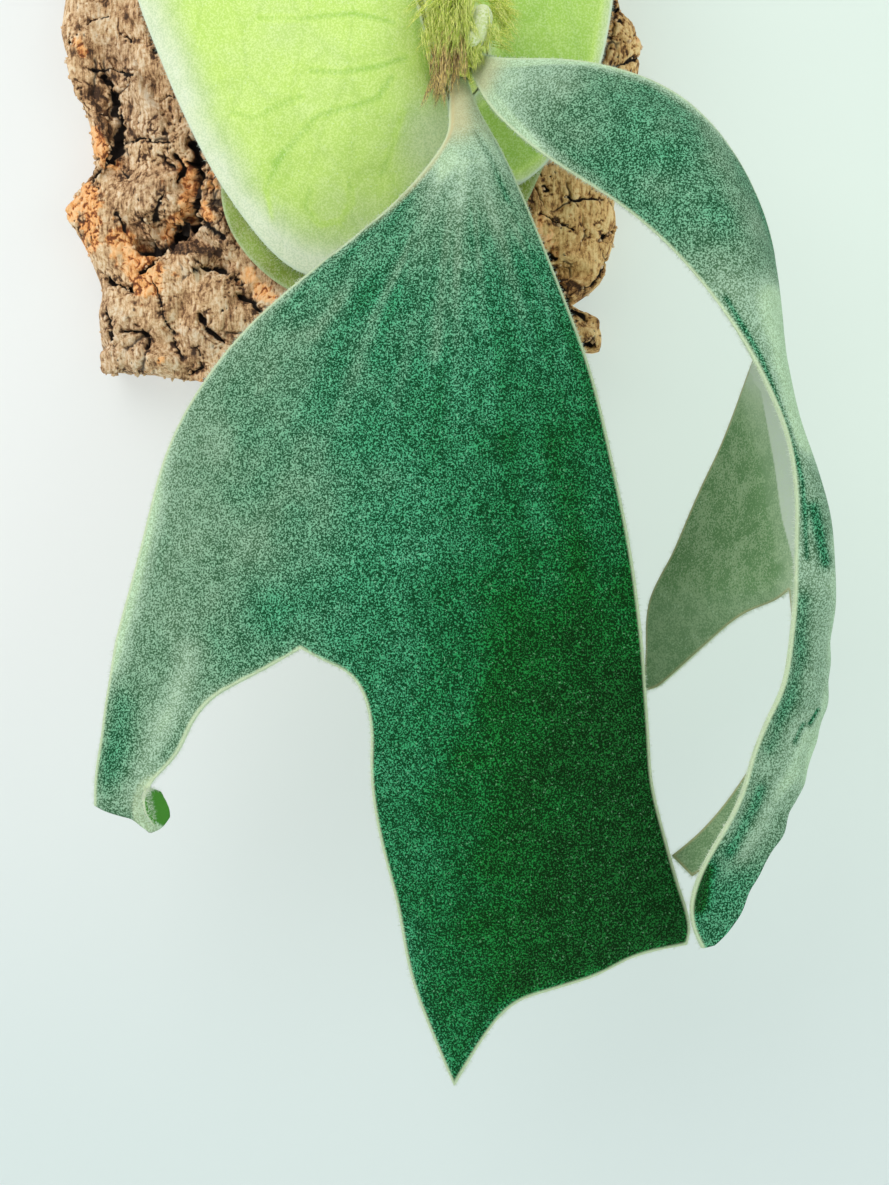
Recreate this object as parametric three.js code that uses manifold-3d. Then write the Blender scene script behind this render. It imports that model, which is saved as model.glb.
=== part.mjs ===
// A staghorn fern grown on a slab of cork bark, hung on a wall by a wire eye.
// Millimetres, +Z up. The wall is the plane Y = 0 and the fern faces -Y.
// The origin is on the slab's flat back, behind the middle of the plant.
import * as THREE from "three";
import { ConvexGeometry } from "three/addons/geometries/ConvexGeometry.js";
import { mergeVertices } from "three/addons/utils/BufferGeometryUtils.js";
import Module from "manifold-3d";

const wasm = await Module();
wasm.setup();

// Driving dimensions
const SLAB_TOP = 131;
const SLAB_HALF_WIDTH = 98;
const BARK_EDGE = 15; // thickness of the bark at its long sides
const BARK_CROWN = 15; // what the middle stands prouder than the sides
const BARK_RELIEF = 4.5; // highest plate above the mean surface
const BACK_INSET = 3; // how far the back's rim is broken away inside the front's
const MOUND = { x: 14, z: 0, wide: 60, tall: 72, base: 30, rise: 27 }; // the swell that the shields lie over
const MOSS = { x: 12, z: 2, wide: 58, tall: 66, below: 1.6, seat: 0.4 };
const RHIZOME = { x: 35.5, z: -19, wide: 8, tall: 14, back: -36, front: -72 };
const SHIELD_THICK = 1.0;
const FROND_THICK = 1.3;
const STALK_THICK = 3.0;
const STALK_LENGTH = 42;
const BUD_SCALES = 54;
const FIT_GAP = 0.4; // clearance left round a piece that grows out of another
const WIRE_R = 1.1;
const HANGER = { halfSpan: 20, holeZ: 116, backY: -1.5, neckZ: 139, eyeR: 7 };
const TIE_R = 0.4;
const SCREW = { headR: 3.2, shankR: 1.4, head: 1.6, length: 18, sunk: 1.0 };

// Repeatable value noise, so that every run makes the same bark
function hash(i, j, seed) {
  const s = Math.sin(i * 127.1 + j * 311.7 + seed * 74.7) * 43758.5453;
  return s - Math.floor(s);
}

function noise(x, z, seed) {
  const i = Math.floor(x);
  const j = Math.floor(z);
  const u = (x - i) ** 2 * (3 - 2 * (x - i));
  const v = (z - j) ** 2 * (3 - 2 * (z - j));
  const low = THREE.MathUtils.lerp(hash(i, j, seed), hash(i + 1, j, seed), u);
  const high = THREE.MathUtils.lerp(hash(i, j + 1, seed), hash(i + 1, j + 1, seed), u);
  return THREE.MathUtils.lerp(low, high, v);
}

// Solids and booleans
function toSolid(geometry) {
  const bare = geometry.index ? geometry.toNonIndexed() : geometry.clone();
  bare.deleteAttribute("normal");
  bare.deleteAttribute("uv");
  const merged = mergeVertices(bare, 1e-4);
  const triVerts = new Uint32Array(merged.index.array);
  const make = (tris) =>
    new wasm.Manifold(
      new wasm.Mesh({ numProp: 3, vertProperties: merged.attributes.position.array, triVerts: tris }),
    );
  const made = make(triVerts);
  return made.volume() >= 0 ? made : make(triVerts.reverse());
}

function toGeometry(solid) {
  const mesh = solid.getMesh();
  return new THREE.BufferGeometry()
    .setAttribute("position", new THREE.BufferAttribute(new Float32Array(mesh.vertProperties), 3))
    .setIndex(new THREE.BufferAttribute(new Uint32Array(mesh.triVerts), 1));
}

function join(solids) {
  return solids.reduce((all, solid) => all.add(solid));
}

// The body that is left when a cut has parted small scraps from it
function largestBody(solid) {
  return solid.decompose().sort((a, b) => b.volume() - a.volume())[0];
}

// Cuts a tool out of a solid with a clearance all round, by cutting it at six small shifts
const GAP_SHIFTS = [-FIT_GAP, FIT_GAP].flatMap((g) => [[g, 0, 0], [0, g, 0], [0, 0, g]]);

function cutWithGap(solid, tool) {
  return largestBody(GAP_SHIFTS.reduce((left, shift) => left.subtract(tool.translate(shift)), solid));
}

// A tube of plain round wire along a curve
function tube(curve, radius, steps, sides) {
  const section = new THREE.Shape();
  section.absarc(0, 0, radius, 0, Math.PI * 2);
  return new THREE.ExtrudeGeometry(section, { steps, extrudePath: curve, curveSegments: sides });
}

function curveOf(points) {
  return new THREE.CatmullRomCurve3(points.map((p) => new THREE.Vector3(...p)), false, "centripetal");
}

// A thin leaf: a middle surface made of strips that share their rows, then given its thickness
class Leaf {
  constructor() {
    this.points = [];
    this.quads = [];
  }

  add(point) {
    return this.points.push(point) - 1;
  }

  // Rows of a strip run across two or three guide curves. A first row, where given, is shared with another strip.
  strip(guides, rows, columns, firstRow = null, skip = 0) {
    const curves = guides.map(curveOf);
    const grid = firstRow ? [firstRow] : [];
    for (let r = firstRow ? 1 : 0; r <= rows; r++) {
      const t = skip + (1 - skip) * (r / rows);
      const ends = curves.map((curve) => curve.getPoint(t));
      grid.push(
        Array.from({ length: columns + 1 }, (_, c) => this.add(across(ends, c / columns))),
      );
    }
    this.fill(grid);
    return grid;
  }

  // A lobe grows on from the last rows of a strip, between the columns given
  lobe(parent, from, to, guides, rows, hem = null) {
    const last = parent.at(-1);
    const before = parent.at(-2);
    const columns = to - from;
    const starts = guides.map((_, g) => from + Math.round((columns * g) / (guides.length - 1)));
    const led = guides.map((guide, g) => [
      this.points[before[starts[g]]].toArray(),
      this.points[last[starts[g]]].toArray(),
      ...guide,
    ]);
    const grid = this.strip(led, rows, columns, last.slice(from, to + 1), 1 / (led[0].length - 1));
    if (hem) this.trim(grid, hem);
    return grid;
  }

  // Shapes a lobe's end: the hem lists how far the last row is raised at each share of its width
  trim(grid, hem) {
    grid.forEach((row, r) => {
      const weight = (r / (grid.length - 1)) ** 3;
      row.forEach((index, c) => {
        this.points[index].z += weight * along(hem, c / (row.length - 1));
      });
    });
  }

  fill(grid) {
    for (let r = 0; r + 1 < grid.length; r++)
      for (let c = 0; c + 1 < grid[r].length; c++)
        this.quads.push([grid[r][c], grid[r][c + 1], grid[r + 1][c + 1], grid[r + 1][c]]);
  }

  triangles() {
    return this.quads.flatMap(([a, b, c, d]) => [[a, b, c], [a, c, d]]).filter((t) => new Set(t).size === 3);
  }

  normals(triangles) {
    const normals = this.points.map(() => new THREE.Vector3());
    const ab = new THREE.Vector3();
    const ac = new THREE.Vector3();
    for (const [a, b, c] of triangles) {
      ab.subVectors(this.points[b], this.points[a]);
      ac.subVectors(this.points[c], this.points[a]);
      const normal = ab.clone().cross(ac);
      for (const i of [a, b, c]) normals[i].add(normal);
    }
    return normals.map((n) => n.normalize());
  }

  solid(thickness) {
    const triangles = this.triangles();
    const normals = this.normals(triangles);
    const face = (side) =>
      this.points.map((p, i) => p.clone().addScaledVector(normals[i], (side * thickness(p)) / 2));
    const top = face(1);
    const under = face(-1);
    const corners = [];
    const edges = new Map();
    for (const [a, b, c] of triangles) {
      corners.push(top[a], top[b], top[c], under[a], under[c], under[b]);
      for (const [i, j] of [[a, b], [b, c], [c, a]]) {
        if (edges.has(`${j},${i}`)) edges.delete(`${j},${i}`);
        else edges.set(`${i},${j}`, [i, j]);
      }
    }
    for (const [i, j] of edges.values()) corners.push(top[j], top[i], under[i], top[j], under[i], under[j]);
    return toSolid(new THREE.BufferGeometry().setFromPoints(corners));
  }
}

// A straight line through two ends, or a parabola through three
function across(ends, s) {
  if (ends.length === 2) return ends[0].clone().lerp(ends[1], s);
  const [a, b, c] = ends;
  return a
    .clone()
    .multiplyScalar((1 - s) * (1 - 2 * s))
    .addScaledVector(b, 4 * s * (1 - s))
    .addScaledVector(c, s * (2 * s - 1));
}

// The cork slab
const SLAB_LEFT = [
  [-83, -121], [-86, -100], [-84, -88], [-90, -75], [-97, -65], [-95, -58], [-87, -49], [-89, -36], [-93, -24],
  [-96, -14], [-99, -4], [-98, 6], [-94, 22], [-90, 40], [-93, 58], [-97, 76], [-91, 94], [-87, 112], [-80, 131],
];
const SLAB_RIGHT = [
  [82, -111], [84, -104], [81, -99.5], [72, -95.5], [81, -89], [85.5, -84], [84, -78.5], [88.5, -71], [87.5, -60],
  [91, -36], [95, -17], [96.5, -7], [93, 2], [87, 8], [85, 16], [88, 32], [93, 48], [95, 66], [90, 84], [86, 100],
  [89, 114], [78, 131],
];
const SLAB_FOOT = [[-99, -116], [-72, -117], [-50, -121], [-20, -116], [20, -119], [60, -110], [96, -110]];
const SLAB_HEAD = [[-99, 124], [-70, 129], [-45, 126], [-15, 131], [20, 128], [50, 131], [96, 122]];
const SLAB_ROWS = 46;
const SLAB_COLUMNS = 35;
const KNOT = { x: -67, z: -59, r: 10, rise: 4.5, groove: 5 };
const FURROWS = [
  { from: [-80, -8], to: [-77, -48], half: 3.6, depth: 8 },
  { from: [-72, -76], to: [-55, -69], half: 3.4, depth: 8 },
  { from: [-55, -69], to: [-33, -92], half: 3.0, depth: 6 },
  { from: [76, -30], to: [84, -46], half: 3.0, depth: 5 },
  { from: [58, -88], to: [78, -82], half: 2.6, depth: 5 },
];

function along(table, at) {
  const next = table.findIndex(([key]) => key >= at);
  if (next <= 0) return next ? table.at(-1)[1] : table[0][1];
  const [k0, v0] = table[next - 1];
  const [k1, v1] = table[next];
  return THREE.MathUtils.lerp(v0, v1, (at - k0) / (k1 - k0));
}

const flip = (table) => table.map(([value, key]) => [key, value]);

// Screws and lines that held the young plant down until its shields closed over them
const TIES = [
  { z: 40, from: -50, to: 72 },
  { z: -40, from: -38.5, to: 62.5 },
];
const SCREW_PLACES = TIES.flatMap(({ z, from, to }) => [[from, z], [to, z]]);

// Mean thickness of the bark at a place, measured from the wall
function barkMean(x) {
  return BARK_EDGE + BARK_CROWN * (1 - Math.min(1, (x / SLAB_HALF_WIDTH) ** 2));
}

function distanceToSegment(x, z, [x0, z0], [x1, z1]) {
  const t = THREE.MathUtils.clamp(((x - x0) * (x1 - x0) + (z - z0) * (z1 - z0)) / ((x1 - x0) ** 2 + (z1 - z0) ** 2), 0, 1);
  return Math.hypot(x - x0 - t * (x1 - x0), z - z0 - t * (z1 - z0));
}

// Plates of cork parted by cracks: each plate has its own height, and the crack runs where two plates are equally near
function plates(x, z) {
  const wide = 17;
  const tall = 27;
  const u = (x + 5 * noise(x / 15, z / 15, 3)) / wide;
  const v = (z + 7 * noise(x / 12, z / 20, 4)) / tall;
  let nearest = 9;
  let second = 9;
  let height = 0;
  for (let i = Math.floor(u) - 1; i <= Math.floor(u) + 1; i++)
    for (let j = Math.floor(v) - 1; j <= Math.floor(v) + 1; j++) {
      const far = Math.hypot(u - i - hash(i, j, 1), v - j - hash(i, j, 2));
      if (far < nearest) {
        second = nearest;
        nearest = far;
        height = hash(i, j, 5);
      } else second = Math.min(second, far);
    }
  const crack = THREE.MathUtils.smoothstep(second - nearest, 0, 0.3);
  return crack * (0.35 + 0.65 * height);
}

function barkFront(x, z) {
  const bump = THREE.MathUtils.smoothstep(Math.hypot((x - MOSS.x) / MOSS.wide, (z - MOSS.z) / MOSS.tall), 1.12, 1.35);
  const nearHanger = 1 - Math.exp(-((x / 34) ** 8 + ((z - HANGER.holeZ) / 9) ** 4));
  const nearScrew = Math.min(...SCREW_PLACES.map(([sx, sz]) => THREE.MathUtils.smoothstep(Math.hypot(x - sx, z - sz), 8, 13)));
  const fine = 1.6 * (noise(x / 5, z / 8, 6) - 0.5);
  let relief = BARK_RELIEF * plates(x, z) + fine;
  const ring = Math.hypot(x - KNOT.x, z - KNOT.z) / KNOT.r;
  if (ring < 1) relief = Math.max(relief, KNOT.rise * Math.sqrt(1 - ring ** 2) + fine);
  relief -= KNOT.groove * Math.exp(-(((ring - 1.25) / 0.22) ** 2)) * (x > KNOT.x - 4 ? 1 : 0.4);
  for (const { from, to, half, depth } of FURROWS)
    relief -= depth * Math.exp(-((distanceToSegment(x, z, from, to) / half) ** 2));
  relief = Math.min(relief, BARK_RELIEF);
  return barkMean(x) + 1 + (relief - 1) * bump * nearHanger * nearScrew;
}

function slabRim(row, column) {
  const t = row / SLAB_ROWS;
  const leftLevel = THREE.MathUtils.lerp(SLAB_FOOT[0][1], SLAB_HEAD[0][1], t);
  const rightLevel = THREE.MathUtils.lerp(SLAB_FOOT.at(-1)[1], SLAB_HEAD.at(-1)[1], t);
  const left = along(flip(SLAB_LEFT), leftLevel);
  const right = along(flip(SLAB_RIGHT), rightLevel);
  const x = THREE.MathUtils.lerp(left, right, column / SLAB_COLUMNS);
  const z = THREE.MathUtils.lerp(along(SLAB_FOOT, x), along(SLAB_HEAD, x), t);
  return [x, z];
}

function corkSlab() {
  const grid = [];
  for (let r = 0; r <= SLAB_ROWS; r++) {
    grid.push([]);
    for (let c = 0; c <= SLAB_COLUMNS; c++) {
      const [x, z] = slabRim(r, c);
      const onRim = r === 0 || c === 0 || r === SLAB_ROWS || c === SLAB_COLUMNS;
      const worn = onRim ? 2 + 3 * noise(x / 4, z / 4, 8) : 0;
      grid[r].push(new THREE.Vector3(x, -(barkFront(x, z) - worn), z));
    }
  }
  const corners = [];
  for (let r = 0; r < SLAB_ROWS; r++)
    for (let c = 0; c < SLAB_COLUMNS; c++) {
      const [a, b, d, e] = [grid[r][c], grid[r][c + 1], grid[r + 1][c + 1], grid[r + 1][c]];
      if ((r + c) % 2) corners.push(a, b, d, a, d, e);
      else corners.push(a, b, e, b, d, e);
    }
  const rim = [
    ...grid[0].slice(0, -1),
    ...grid.slice(0, -1).map((row) => row.at(-1)),
    ...grid.at(-1).slice(1).reverse(),
    ...grid.slice(1).map((row) => row[0]).reverse(),
  ];
  const inset = (p, share, ragged) => {
    const pull = BACK_INSET * share + ragged * (noise(p.x / 6, p.z / 6, 9) - 0.5);
    const out = new THREE.Vector2(p.x / SLAB_HALF_WIDTH, p.z / SLAB_TOP).normalize();
    return [p.x - pull * out.x, p.z - pull * out.y];
  };
  const middle = rim.map((p) => {
    const [x, z] = inset(p, 0.2, 4);
    return new THREE.Vector3(x, p.y * 0.55, z);
  });
  const back = rim.map((p) => {
    const [x, z] = inset(p, 1, 0);
    return new THREE.Vector3(x, 0, z);
  });
  for (const [outer, inner] of [[rim, middle], [middle, back]])
    outer.forEach((p, i) => {
      const n = (i + 1) % outer.length;
      corners.push(outer[n], p, inner[i], outer[n], inner[i], inner[n]);
    });
  const flat = back.map((p) => new THREE.Vector2(p.x, p.z));
  for (const [a, b, c] of THREE.ShapeUtils.triangulateShape(flat, [])) corners.push(back[a], back[c], back[b]);
  return toSolid(new THREE.BufferGeometry().setFromPoints(corners));
}

// The wire that the slab hangs by: a bar across the front, two legs through the bark and up its back, and an eye
function wireFront(x) {
  return -(barkFront(x, HANGER.holeZ) + WIRE_R + 0.4);
}

function hangerCurve(back) {
  const { halfSpan, holeZ, neckZ } = HANGER;
  const front = wireFront(halfSpan);
  const corner = 2.2;
  const half = [
    [1.3, back, neckZ],
    [2.4, back, neckZ - 5],
    [halfSpan - 4, back, holeZ + 6],
    [halfSpan - 1, back, holeZ + 1.4],
    [halfSpan, back - corner, holeZ],
    [halfSpan, (back + front) / 2, holeZ],
    [halfSpan, front + corner, holeZ],
    [halfSpan - corner, front, holeZ],
    [halfSpan / 2, wireFront(halfSpan / 2), holeZ],
  ];
  const mirrored = half.map(([x, y, z]) => [-x, y, z]).reverse();
  return curveOf([...half, [0, wireFront(0), holeZ], ...mirrored]);
}

function hangerWire() {
  const { backY, neckZ, eyeR } = HANGER;
  const loop = toSolid(tube(hangerCurve(backY), WIRE_R, 60, 3));
  const eye = toSolid(new THREE.TorusGeometry(eyeR, WIRE_R, 6, 22).rotateX(Math.PI / 2));
  const turns = [0, 1, 2].flatMap((k) => [[2.2, 2 * k], [2.9, 2 * k + 0.6], [2.9, 2 * k + 1.4]]);
  const profile = [[0, 0], ...turns, [2.2, 6], [0, 6]].map(([r, h]) => new THREE.Vector2(r, h));
  const wraps = new THREE.LatheGeometry(profile, 10).scale(1, 1, 0.7).rotateX(Math.PI / 2);
  return join([loop, eye.translate([0, backY, neckZ + eyeR]), toSolid(wraps.translate(0, backY, neckZ - 3.5))]);
}

// The grooves in the back and the two holes that the wire lies in
function hangerCut() {
  const loose = 0.7;
  const bed = toSolid(tube(hangerCurve(HANGER.backY), WIRE_R + loose, 40, 3));
  const open = bed.translate([0, WIRE_R, 0]);
  const inBack = toSolid(new THREE.BoxGeometry(80, 8, 60).translate(0, 1, HANGER.holeZ + 10));
  return bed.add(open.intersect(inBack));
}

// The swell that the shields lie over, as a height above the wall
function mound(x, z) {
  return MOUND.base + MOUND.rise * Math.exp(-(((x - MOUND.x) / MOUND.wide) ** 2 + ((z - MOUND.z) / MOUND.tall) ** 2));
}

// A round blade on rays from a centre: the outline is a closed smooth curve and the height a function of place and reach
function discLeaf(outline, centre, rays, rings, height) {
  const rim = new THREE.CatmullRomCurve3(outline.map(([x, z]) => new THREE.Vector3(x, 0, z)), true, "centripetal");
  const leaf = new Leaf();
  const at = (reach, k) => {
    const edge = rim.getPointAt((k % rays) / rays);
    const x = THREE.MathUtils.lerp(centre[0], edge.x, reach);
    const z = THREE.MathUtils.lerp(centre[1], edge.z, reach);
    return new THREE.Vector3(x, -height(x, z, reach), z);
  };
  const hub = leaf.add(at(0, 0));
  let inner = Array(rays).fill(hub);
  for (let r = 1; r <= rings; r++) {
    const ring = Array.from({ length: rays }, (_, k) => leaf.add(at((r / rings) ** 0.85, k)));
    ring.forEach((p, k) => {
      const n = (k + 1) % rays;
      leaf.quads.push([inner[k], inner[n], ring[n], p]);
    });
    inner = ring;
  }
  return leaf;
}

function mossPad() {
  const rays = 30;
  const rings = 5;
  const centre = new THREE.Vector3(MOSS.x, 0, MOSS.z);
  const corners = [];
  const at = (reach, k, onBark) => {
    const turn = (2 * Math.PI * (k % rays)) / rays;
    const ragged = 1 + 0.05 * (hash(k % rays, 0, 12) - 0.5);
    const x = centre.x + MOSS.wide * ragged * reach * Math.cos(turn);
    const z = centre.z + MOSS.tall * ragged * reach * Math.sin(turn);
    const seat = barkMean(x) + 1 + MOSS.seat;
    const lumps = reach > 0 && reach < 1 ? 0.5 * hash(Math.round(reach * rings), k % rays, 13) : 0;
    const crown = mound(x, z) - MOSS.below - lumps - 3.5 * reach ** 8;
    return new THREE.Vector3(x, -(onBark ? seat : Math.max(crown, seat + 2)), z);
  };
  for (const onBark of [false, true])
    for (let r = 0; r < rings; r++)
      for (let k = 0; k < rays; k++) {
        const [a, b] = [at(r / rings, k, onBark), at(r / rings, k + 1, onBark)];
        const [c, d] = [at((r + 1) / rings, k + 1, onBark), at((r + 1) / rings, k, onBark)];
        const faces = r ? [[a, b, c], [a, c, d]] : [[a, c, d]];
        for (const [p, q, s] of faces) corners.push(...(onBark ? [p, s, q] : [p, q, s]));
      }
  for (let k = 0; k < rays; k++) {
    const [a, b] = [at(1, k, false), at(1, k + 1, false)];
    const [c, d] = [at(1, k + 1, true), at(1, k, true)];
    corners.push(a, b, c, a, c, d);
  }
  return toSolid(new THREE.BufferGeometry().setFromPoints(corners));
}

// Shield fronds: the dead-flat-backed leaves that clasp the slab
const LEFT_SHIELD = [
  [30, -30], [24, -14], [20, 2], [19, 24], [22, 46], [22, 68], [12, 86], [-6, 97], [-26, 99], [-46, 92], [-60, 77],
  [-68, 58], [-73, 38], [-73, 18], [-69, 1], [-63, -14], [-57, -29], [-50, -44], [-43, -57], [-34, -70], [-25, -81],
  [-15, -88], [-3, -88], [10, -80], [22, -68], [30, -54], [33, -42],
];
const RIGHT_SHIELD = [
  [30, 70], [24, 44], [22, 20], [24, -8], [32, -34], [36, -48], [45, -57], [56, -58], [64, -50], [72, -39],
  [79, -24], [83, -8], [85, 8], [86, 26], [83, 46], [77, 64], [68, 79], [56, 88], [42, 85],
];
const OLD_SHIELD = [
  [-41, -46], [-43.5, -58], [-43, -67], [-36, -79], [-27, -88], [-17, -94], [2, -97], [24, -93], [42, -82], [55, -68],
  [59.5, -57], [66, -44], [73, -26], [76, -2], [75, 24], [69, 48], [54, 68], [28, 81], [0, 83], [-26, 76], [-45, 58],
  [-54, 34], [-54, 6], [-47, -24],
];

const leftHeight = (x, z, reach) => mound(x, z) + 7.2 + 5 * (1 - reach ** 4) + 1.2 * topWave(x, z, reach);
const rightHeight = (x, z, reach) => mound(x, z) + 3.4 + 2 * (1 - reach ** 4) + 1.2 * topWave(x, z, reach);
const oldHeight = (x, z) => mound(x, z) + 1.4;

// The upper margins stand off the slab in a few slow waves
function topWave(x, z, reach) {
  const up = THREE.MathUtils.smoothstep(z, 40, 90) * reach ** 3;
  return up * (3.5 + 2.5 * Math.sin(x / 8));
}

function shield(outline, centre, rays, rings, height) {
  return discLeaf(outline, centre, rays, rings, height).solid(() => SHIELD_THICK);
}

// Fertile fronds. Each station lists one margin, the middle and the other margin.
const stalkTaper = (root) => (p) => {
  const near = Math.max(0, 1 - p.distanceTo(new THREE.Vector3(...root)) / STALK_LENGTH);
  return FROND_THICK + (STALK_THICK - FROND_THICK) * near ** 1.5;
};

const MAIN_STATIONS = [
  [[33, -60, -25], [34, -61, -25], [35, -60, -25]],
  [[32, -77, -42], [36, -80, -42], [40, -75, -41]],
  [[31, -83, -51], [39, -89, -55], [47, -82, -54]],
  [[15, -90, -72], [37, -97, -73], [55, -89, -73]],
  [[-15, -90, -96], [30, -103, -99], [65, -96, -99]],
  [[-35.5, -87, -115], [23, -106, -125], [74, -100, -124]],
  [[-54, -83, -143], [17, -108, -152], [80, -103, -150]],
  [[-63, -80, -175], [12, -108, -180], [86, -104, -180]],
  [[-71, -80, -204], [10, -107, -207], [89, -104, -204]],
];
const MAIN_LEFT_LOBE = [
  [[-72.5, -81, -214], [-74, -83, -225], [-75, -85, -235], [-76.5, -87, -246], [-76.5, -88, -255]],
  [[-52, -89, -214], [-59, -90, -225], [-63, -90, -236], [-68, -90, -247], [-71, -90, -257]],
  [[-38, -97, -220], [-46, -96, -229], [-50.5, -95, -239], [-60, -92, -248.7], [-64.6, -91, -258.5]],
];
// The lobe's lower inner corner is rolled into a small cornet: these points go once round its mouth
const CORNET_RIM = [
  [-62.3, -92, -260.8], [-59.3, -92, -262.9], [-56.3, -89, -262], [-54.3, -86, -258.6], [-54.3, -86, -254.6],
  [-56.2, -88, -251.2], [-59.3, -92, -249.9], [-60.8, -96, -251.7], [-59.8, -98, -256], [-57.2, -97.5, -260],
];
const MAIN_RIGHT_LOBE = [
  [[2, -104, -214], [8, -106, -227], [8, -106, -245], [11, -105, -264], [16, -103, -283], [20, -101, -306], [33, -95, -339]],
  [[50, -110, -220], [49, -111, -234], [50, -112, -250], [53, -111, -267], [56, -109, -284], [61, -107, -299], [64, -104, -309]],
  [[90, -103, -218], [91, -103, -232], [92, -102, -247], [96, -101, -263], [100, -99, -277], [104, -97, -290], [103, -96, -296]],
];

const RIGHT_LOBE_HEM = [[0, 0], [0.11, 3], [0.22, 6.5], [0.33, 6], [0.44, 2.5], [0.56, 0], [0.7, -2], [0.78, 0.5], [1, 0]];

const column = (stations, g) => stations.map((station) => station[g]);

// A rolled corner: rows fan out from the first point of an edge to the points of a rim
function cornet(leaf, edge, rim) {
  const apex = leaf.points[edge[0]];
  const grid = [edge];
  for (const place of rim) {
    const end = new THREE.Vector3(...place);
    const inside = edge.slice(1).map((_, j) => leaf.add(apex.clone().lerp(end, (j + 1) / (edge.length - 1))));
    grid.push([edge[0], ...inside]);
  }
  leaf.fill(grid.map((row) => [...row].reverse()));
}

function mainFrond() {
  const leaf = new Leaf();
  const body = leaf.strip([0, 1, 2].map((g) => column(MAIN_STATIONS, g)), 18, 14);
  const left = leaf.lobe(body, 0, 5, MAIN_LEFT_LOBE, 10);
  leaf.lobe(body, 5, 14, MAIN_RIGHT_LOBE, 15, RIGHT_LOBE_HEM);
  cornet(leaf, left.slice(-3).map((row) => row.at(-1)), CORNET_RIM);
  return leaf.solid(stalkTaper(MAIN_STATIONS[0][1]));
}

const SIDE_STATIONS = [
  [[38, -61, -22], [38.4, -61, -20.5], [38, -61, -19]],
  [[44, -83, -41], [48, -85, -34], [48, -79, -26]],
  [[60, -95, -58], [68, -99, -43], [70, -89, -28]],
  [[82, -106, -74], [92, -110, -57], [98, -96, -38]],
  [[99, -115, -91], [111, -116, -75], [116.5, -98, -57]],
  [[114, -122, -112], [124, -116, -100], [129, -92, -83]],
  [[123, -127, -130], [130.5, -114, -122], [131, -82, -102]],
  [[129, -130, -146], [136, -112, -144], [126, -70, -119]],
  [[131, -131, -163], [142, -110, -164], [118, -60, -143]],
  [[131, -130, -175], [142.8, -108, -176], [111, -56, -158]],
  [[131, -129, -189], [142.3, -107, -192], [103, -52, -178]],
];
const REAR_LOBE = [
  [[130, -82, -193], [122, -72, -197], [111, -60, -208], [99, -50, -220]],
  [[97, -50, -189], [95, -48, -197], [95, -47, -210], [94, -46, -222]],
];
const FRONT_LOBE = [
  [[130, -127, -204], [128, -126, -217], [123, -124, -228], [119, -122, -239]],
  [[144, -107, -207], [143.5, -106, -221], [140.5, -106, -233], [136.5, -107, -246]],
  [[137, -88, -206], [135, -86, -220], [129, -86, -235], [121, -88, -247]],
];
const FRONT_TIP = [
  [[116, -120, -252], [108, -118, -265], [103, -116, -277], [102, -114, -286], [106, -112, -295]],
  [[131, -107, -260], [124.5, -107, -271], [119.5, -107, -280], [116, -108, -288], [110, -110, -294.5]],
];
const BACK_TIP = [
  [[123, -99, -262], [115, -95, -269], [105, -93, -276]],
  [[114, -88, -257], [106, -89, -265], [99, -91, -270]],
];

function sideFrond() {
  const leaf = new Leaf();
  const body = leaf.strip([0, 1, 2].map((g) => column(SIDE_STATIONS, g)), 20, 12);
  leaf.lobe(body, 8, 12, REAR_LOBE, 7);
  const front = leaf.lobe(body, 0, 8, FRONT_LOBE, 8);
  leaf.lobe(front, 0, 5, FRONT_TIP, 7);
  leaf.lobe(front, 5, 8, BACK_TIP, 4);
  return leaf.solid(stalkTaper(SIDE_STATIONS[0][1]));
}

// The creeping stem, its furry tip and the next frond folded up in it
function rhizomeCore() {
  const { x, z, wide, tall, back, front } = RHIZOME;
  const profile = [[0, 0], [0.8, 0], [1, 0.15], [1, 0.62], [0.9, 0.78], [0.68, 0.9], [0.36, 0.975], [0, 1]];
  const points = profile.map(([r, h]) => new THREE.Vector2(r, h));
  const upright = new THREE.LatheGeometry(points, 18);
  return toSolid(upright.rotateX(Math.PI).scale(wide, back - front, tall).translate(x, back, z));
}

const YOUNG = { at: [40.5, -75, -14.5], radii: [4.4, 5.2, 7.4] };

function youngFrond() {
  const ball = new THREE.SphereGeometry(1, 14, 9).scale(...YOUNG.radii);
  return toSolid(ball.rotateY(0.3).translate(...YOUNG.at));
}

// The socket that a stalk stands in: the convex shell of what lies inside the stem, let out by the clearance
function socket(frond) {
  const { x, z, wide, tall, back, front } = RHIZOME;
  const around = new THREE.BoxGeometry(wide * 2 + 4, back - front + 3, tall * 2 + 4);
  const inside = frond.intersect(toSolid(around.translate(x, (back + front) / 2 - 1, z)));
  const verts = inside.getMesh().vertProperties;
  const points = [];
  for (let i = 0; i < verts.length; i += 3)
    for (const [dx, dy, dz] of GAP_SHIFTS) points.push(new THREE.Vector3(verts[i] + dx, verts[i + 1] + dy, verts[i + 2] + dz));
  return toSolid(new ConvexGeometry(points));
}

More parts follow.
